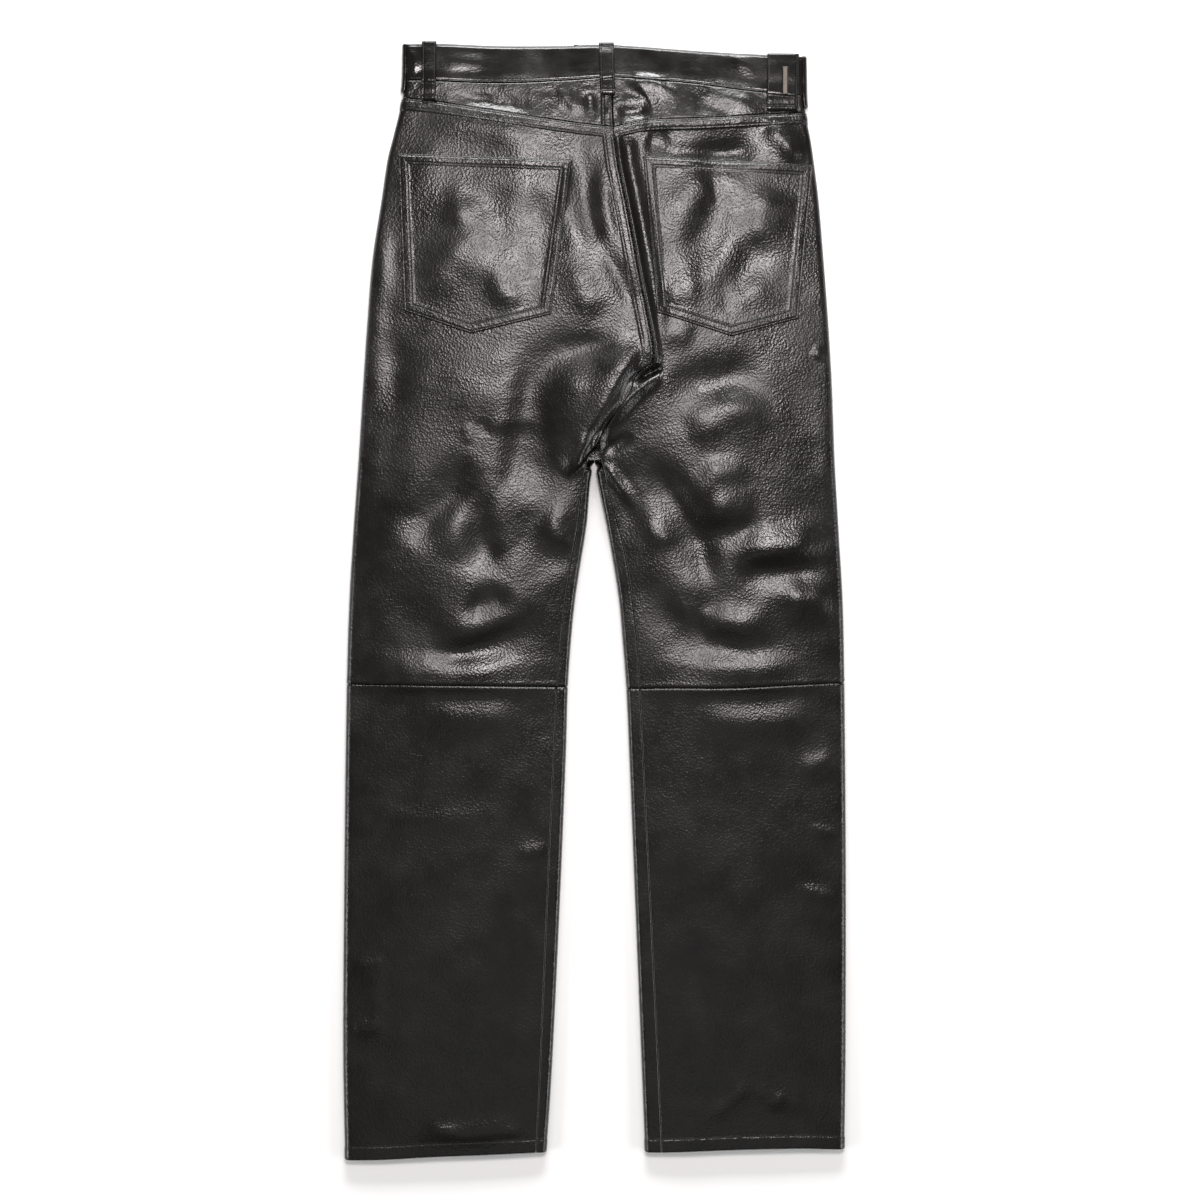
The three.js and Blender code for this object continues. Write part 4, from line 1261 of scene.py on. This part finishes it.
def pocket_points(side, across, along):
    """A pocket as a sheet between its top edge and its pointed bottom edge."""
    top_in, top_out, low_out, point, low_in = POCKETS[side]
    split = (point[0] - low_in[0]) / (low_out[0] - low_in[0])
    top = mix(top_in, top_out, across[..., None])
    inner = mix(low_in, point, np.clip(across / split, 0, 1)[..., None])
    outer = mix(point, low_out, np.clip((across - split) / (1 - split), 0, 1)[..., None])
    bottom = np.where((across < split)[..., None], inner, outer)
    return mix(top, bottom, along[..., None])


def pocket_relief(side, x, down):
    """Twice stitched edges that stand a little proud, and the turned top edge with its stitch line."""
    corners = POCKETS[side]
    inside = edge_distance(corners, x, down)
    top = corners[1] - corners[0]
    below = np.abs((x - corners[0][0]) * top[1] - (down - corners[0][1]) * top[0]) / np.hypot(*top)
    rim = 0.5 * (1 - smooth(inside, SEAM_BAND - 0.4, SEAM_BAND + 1.4))
    grooves = hump(inside, FIRST_STITCH, GROOVE_WIDTH) + hump(inside, SECOND_STITCH, GROOVE_WIDTH)
    return rim - 0.5 * grooves + edge_round(inside, 1.1, 1.3) + 0.25 * hump(below, 4.5, 3.5)


def pocket_height(side, x, down):
    """Height of a pocket's outer face."""
    return top_height(side, x, down) + SEAM_GAP + POCKET_LEATHER + pocket_relief(side, x, down)


class TROUSERS_OT_back_pockets(bpy.types.Operator):
    """Builds the two patch pockets"""

    bl_idname = "trousers.back_pockets"
    bl_label = "Back pockets"

    def execute(self, context):
        near = evenly(0, 12, SEAM_STEP) / POCKET_WIDTH
        stations = chain(near, evenly(near[-1], 1 - near[-1], 2.4 / POCKET_WIDTH), 1 - near[::-1])
        for side in (-1, 1):
            across, along = np.meshgrid(stations, stations)
            flat = pocket_points(side, across, along)
            x, down = flat[..., 0], flat[..., 1]
            seat = top_height(side, x, down) + SEAM_GAP
            outer = place(x, down, pocket_height(side, x, down))
            name = f"back_pocket_{half(side)}"
            piece = wall(name, outer, place(x, down, seat), nappa_leather())
            dress(piece, name, f"back_leg_upper_{half(side)}")
        return {"FINISHED"}


def arched(along):
    """How far a loop's middle stands clear of the cloth, as a share: 0 at its ends and 1 between."""
    return smooth(along, 0.04, 0.24) * (1 - smooth(along, 0.76, 0.95))


def loop_grid(loop, across, along):
    """A back loop's under face: its two ends lie on the cloth and its middle stands clear."""
    down = mix(loop["top"], loop["bottom"], along)
    x = loop["x"] + loop["lean"] * along + across * loop["half"]
    return place(x, down, loop_seat(x, down) + LOOP_SEAT + LOOP_CLEARANCE * arched(along))


def turned_under(along):
    """How much thicker a loop is towards its lower end, which is turned under."""
    return LOOP_TURNED * smooth(along, 0.66, 0.92)


def strap_relief(loop, across, along):
    """A folded strap: rounded edges and ends, and a groove along each edge where it is stitched."""
    from_edge = (1 - np.abs(across)) * loop["half"]
    run = loop["bottom"] - loop["top"]
    from_end = np.minimum(along, 1 - along) * run
    groove = -0.3 * hump(from_edge, FIRST_STITCH, GROOVE_WIDTH)
    rolled = 0.8 * hump((1 - along) * run, 3.2, 2.4) + turned_under(along)
    return groove + rolled + edge_round(from_edge, 0.9, 1.2) + edge_round(from_end, 0.7, 1.2)


class TROUSERS_OT_belt_loops(bpy.types.Operator):
    """Builds the three loops on the back and the two round the sides"""

    bl_idname = "trousers.belt_loops"
    bl_label = "Belt loops"

    def execute(self, context):
        leather = pressed_leather()
        for name, loop in LOOPS.items():
            across, along = np.meshgrid(np.linspace(-1, 1, 32), np.linspace(0, 1, 70))
            under = loop_grid(loop, across, along)
            relief = LOOP_LEATHER + strap_relief(loop, across, along)
            outer = under + outward(under, -1) * relief[..., None]
            dress(wall(name, outer, under, leather), name, "waistband")
        for side in (-1, 1):
            dress(self.side_loop(side, leather), f"belt_loop_front_{half(side)}", "waistband")
        return {"FINISHED"}

    def side_loop(self, side, leather):
        """A loop round the fold of the waistband, as part of a larger ellipse."""
        stations = chain(np.linspace(SIDE_LOOP["start"], 1, 24), (1.2, 1.6, 2))
        rounds, along = np.meshgrid(stations, np.linspace(0, 1, 40))
        top = row_down(side, np.array(1.0), np.array(0.0))
        bottom = row_down(side, np.array(1.0), np.array(WAIST_ROW)) + SIDE_LOOP["bottom_past"]
        down = mix(top, bottom, along)
        turn = side_turn(side, down)
        high = top_height(side, turn, down) + BAND_PROUD
        rise = (high - BAND_LIFT) / 2 + SIDE_LOOP["clearance"]
        angle = np.clip(rounds, 0, 1) * np.pi
        radius = ROLL + BAND_PROUD + SIDE_LOOP["clearance"]
        x = turn + side * radius * np.sin(angle) - side * SIDE_LOOP["below"] * np.clip(rounds - 1, 0, 1)
        under = place(x, down, (high + BAND_LIFT) / 2 + rise * np.cos(angle))
        from_end = np.minimum(along, 1 - along) * (bottom - top)
        from_edge = np.minimum(rounds - SIDE_LOOP["start"], 2 - rounds) * 8
        relief = LOOP_LEATHER + edge_round(from_end, 0.7, 1.4) + edge_round(from_edge, 0.7, 1.2)
        outer = under + outward(under, -side) * relief[..., None]
        return wall(f"belt_loop_front_{half(side)}", outer, under, leather)


class TROUSERS_OT_hardware(bpy.types.Operator):
    """Builds the plain metal bar, and gives the waist button its finish"""

    bl_idname = "trousers.hardware"
    bl_label = "Metal bar and button"

    def execute(self, context):
        steel = brushed_steel()
        bend, along = np.meshgrid(np.linspace(0, 1, 17), np.linspace(-1, 1, 45))
        x = BAR["x"] + (bend * 2 - 1) * BAR["width"] / 2
        down = BAR["down"] + along * BAR["length"] / 2
        under = loop_seat(x, down) + LOOP_SEAT + LOOP_CLEARANCE + LOOP_LEATHER + SEAM_GAP
        level = np.full_like(x, under.max())
        from_edge = (1 - np.abs(bend * 2 - 1)) * BAR["width"] / 2
        from_end = (1 - np.abs(along)) * BAR["length"] / 2
        rounding = edge_round(from_edge, 0.8, 1.1) + edge_round(from_end, 0.8, 1.1)
        outer = place(x, down, level + BAR["thickness"] + np.maximum(rounding, -1.2))
        piece = wall("loop_bar", outer, place(x, down, level), steel)
        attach(piece, "root")
        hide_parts("loop_bar")
        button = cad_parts["waist_button"]
        for slot in button.material_slots:
            slot.material = steel
        return {"FINISHED"}


class TROUSERS_OT_fly_shield(bpy.types.Operator):
    """Builds the shield inside the closed fly"""

    bl_idname = "trousers.fly_shield"
    bl_label = "Fly shield"

    def execute(self, context):
        across, row = np.meshgrid(np.linspace(-1, 1, 30), np.linspace(0, 1, 60))
        down = mix(SHIELD["start"], SHIELD["stop"], row)
        narrow = 1 - 0.45 * smooth(row, 0.72, 1)
        reach = np.where(across < 0, SHIELD["before"] * narrow, SHIELD["past"])
        low = low_height(down) + LEATHER + SHIELD["clearance"]
        under = place(centre_front(down) + across * reach, down, low)
        outer = under + (0, 0, LEATHER)
        piece = wall("fly_shield", outer, under, nappa_leather())
        dress(piece, "fly_shield", "front_leg_upper_left", "front_leg_upper_right")
        return {"FINISHED"}


def inset(corners, distance):
    """A convex outline moved in by a distance: each pair of moved edges meets in a new corner."""
    before, after = np.roll(corners, 1, axis=0), np.roll(corners, -1, axis=0)
    into = (corners - before) / np.linalg.norm(corners - before, axis=1, keepdims=True)
    out = (after - corners) / np.linalg.norm(after - corners, axis=1, keepdims=True)
    cross = into[:, 0] * out[:, 1] - into[:, 1] * out[:, 0]
    turn = np.sign(cross.sum())
    reach = distance / (np.abs(cross)[:, None] + 1e-9)
    return corners + (out - into) * reach * np.where(cross * turn > 0, 1, -1)[:, None]


def seam_path(side, name, off, start=0.02, stop=0.995):
    """A line beside a seam across the back, as x and down."""
    share = np.linspace(start, stop, 120)
    down = look(SEAM_LINES[side], name, share, "out") + off
    return np.stack([mix(back_inner(side, down), side_turn(side, down), share), down], -1)


class TROUSERS_OT_stitching(bpy.types.Operator):
    """Sews all the seams with separate stitches"""

    bl_idname = "trousers.stitching"
    bl_label = "Stitching"

    def execute(self, context):
        sizes = context.scene.trousers_sizes
        pitch = sizes.stitch_pitch / METRES
        length = sizes.stitch_length / METRES
        radius = sizes.thread_radius / METRES
        thread = bonded_thread()

        def sew(name, lines):
            piece = stitches(name, lines, length, radius, thread)
            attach(piece, "root")

        def seam(side, path, lift):
            """A line of stitches on the cloth of one side, lifted by its seam's relief."""
            return thread_line(path, lambda x, down: top_height(side, x, down) + lift, pitch)

        yoke, waist, centre, hems = [], [], [], []
        on_seam, on_band, on_band_edge, on_hem = SEAM_RISE - 0.15, BAND_PROUD - 0.15, BAND_PROUD - 0.25, 0.1
        for side in (-1, 1):
            for off in (FIRST_STITCH, SECOND_STITCH):
                yoke.append(seam(side, seam_path(side, "yoke", off), on_seam))
            waist.append(seam(side, seam_path(side, "waist", -FIRST_STITCH, 0), on_band))
            waist.append(seam(side, seam_path(side, "top", FIRST_STITCH, 0), on_band_edge))
            share = np.linspace(0.03, 0.99, 100)
            down = look(SEAM_LINES[side], "hem", share, "out") - HEM_DEPTH
            x = mix(inner_edge(side, down) + side * 4, side_turn(side, down), share)
            hems.append(seam(side, np.stack([x, down], -1), on_hem))

            def on_pocket(x, down, side=side):
                return pocket_height(side, x, down) + 0.15

            lines = []
            for off in (FIRST_STITCH, SECOND_STITCH):
                lines.append(thread_line(inset(POCKETS[side], off), on_pocket, pitch, closed=True))
            sew(f"stitching_pocket_{half(side)}", lines)
        for off in (FIRST_STITCH, SECOND_STITCH):
            for start, stop, count in ((YOKE_ROW + 1, 312, 120), (WAIST_ROW + 14, YOKE_ROW - 1, 40)):
                down = np.linspace(start, stop, count)
                centre.append(seam(-1, np.stack([back_inner(-1, down) - off, down], -1), on_seam))
        sew("stitching_yokes", yoke)
        sew("stitching_waistband", waist)
        sew("stitching_centre_back", centre)
        sew("stitching_hems", hems)
        loops = []
        for loop in LOOPS.values():
            along = np.linspace(0.03, 0.97, 60)
            down = mix(loop["top"], loop["bottom"], along)
            lift = LOOP_SEAT + LOOP_CLEARANCE * arched(along) + LOOP_LEATHER + turned_under(along) - 0.15

            def on_loop(px, pd, down=down, lift=lift):
                return loop_seat(px, pd) + np.interp(pd, down, lift)

            for hand in (-1, 1):
                x = loop["x"] + loop["lean"] * along + hand * (loop["half"] - FIRST_STITCH)
                loops.append(thread_line(np.stack([x, down], -1), on_loop, pitch))
        sew("stitching_belt_loops", loops)
        return {"FINISHED"}


def turned_to(direction):
    """The rotation that points a lamp, which shines down its own z axis, along a direction: a tip
    about x by the angle from straight down, then a turn about z."""
    x, y, z = direction
    return np.arctan2(np.hypot(x, y), -z), 0, np.arctan2(-x, y)


class TROUSERS_OT_stage(bpy.types.Operator):
    """Sets the plain table, the soft studio light and the camera straight above"""

    bl_idname = "trousers.stage"
    bl_label = "Stage"

    def execute(self, context):
        scene = context.scene
        mesh = bpy.data.meshes.new("floor")
        reach = TABLE_REACH
        corners = ((-reach, -reach), (reach, -reach), (reach, reach), (-reach, reach))
        mesh.from_pydata([(*corner, TABLE_TOP) for corner in corners], [], [(0, 1, 2, 3)])
        mesh.materials.append(matt_table())
        floor = bpy.data.objects.new("floor", mesh)
        scene.collection.objects.link(floor)

        def softbox(name, place_m, aim_m, size, power, colour):
            light = bpy.data.lights.new(name, "AREA")
            light.shape = "RECTANGLE"
            light.size, light.size_y = size
            light.energy = power
            light.color = colour
            lamp = bpy.data.objects.new(name, light)
            lamp.location = place_m
            lamp.rotation_euler = turned_to(np.array(aim_m, float) - place_m)
            scene.collection.objects.link(lamp)

        softbox("overhead_softbox", (0.12, 0.78, 2.25), (0, 0.3, 0), (0.65, 0.5), 32, (1.0, 0.94, 0.928))
        softbox("top_softbox", (0, 2.35, 1.2), (0, -0.2, 0), (1.6, 0.6), 82, (1.0, 1.0, 1.0))
        softbox("hem_softbox", (0, -0.98, 2.6), (0, -0.5, 0), (1.3, 0.7), 1.3, (1.0, 1.0, 1.0))
        for hand in (-1, 1):
            softbox("side_softbox", (hand * 2.3, -0.7, 1.2), (0, -0.5, 0), (1.8, 1.0), 31, (1.0, 1.0, 1.0))
        world = bpy.data.worlds.new("studio")
        world.use_nodes = True
        world.node_tree.nodes["Background"].inputs["Color"].default_value = (1, 1, 1, 1)
        world.node_tree.nodes["Background"].inputs["Strength"].default_value = ROOM_LIGHT
        scene.world = world
        scene.view_settings.view_transform = "Standard"

        data = bpy.data.cameras.new("overhead_camera")
        data.lens = LENS
        data.sensor_width = SENSOR
        camera = bpy.data.objects.new("overhead_camera", data)
        camera.location = (*FRAME_CENTRE, FRAME_WIDTH * LENS / SENSOR)
        scene.collection.objects.link(camera)
        scene.camera = camera
        return {"FINISHED"}


class TROUSERS_PT_panel(bpy.types.Panel):
    """Lists the pieces and their settings"""

    bl_idname = "TROUSERS_PT_panel"
    bl_label = "Leather trousers"
    bl_space_type = "VIEW_3D"
    bl_region_type = "UI"
    bl_category = "Trousers"

    def draw(self, context):
        for group in (context.scene.trousers_sizes, context.scene.trousers_finish):
            for name in group.bl_rna.properties.keys():
                if name not in ("rna_type", "name"):
                    self.layout.prop(group, name)
        for operator in OPERATORS:
            self.layout.operator(operator.bl_idname)


OPERATORS = (
    TROUSERS_OT_stage,
    TROUSERS_OT_back_panels,
    TROUSERS_OT_front_panels,
    TROUSERS_OT_yokes,
    TROUSERS_OT_waistband,
    TROUSERS_OT_back_pockets,
    TROUSERS_OT_belt_loops,
    TROUSERS_OT_hardware,
    TROUSERS_OT_fly_shield,
    TROUSERS_OT_stitching,
)
CLASSES = (TrousersSizes, TrousersFinish, *OPERATORS, TROUSERS_PT_panel)


def register():
    for cls in CLASSES:
        bpy.utils.register_class(cls)
    bpy.types.Scene.trousers_sizes = bpy.props.PointerProperty(type=TrousersSizes)
    bpy.types.Scene.trousers_finish = bpy.props.PointerProperty(type=TrousersFinish)


def unregister():
    del bpy.types.Scene.trousers_finish
    del bpy.types.Scene.trousers_sizes
    for cls in reversed(CLASSES):
        bpy.utils.unregister_class(cls)


def main():
    """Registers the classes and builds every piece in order."""
    register()
    for operator in OPERATORS:
        group, name = operator.bl_idname.split(".")
        getattr(getattr(bpy.ops, group), name)()


def plain(box):
    """A box as plain lists of numbers."""
    return [[float(value) for value in corner] for corner in box]


if __name__ == "__main__":
    main()
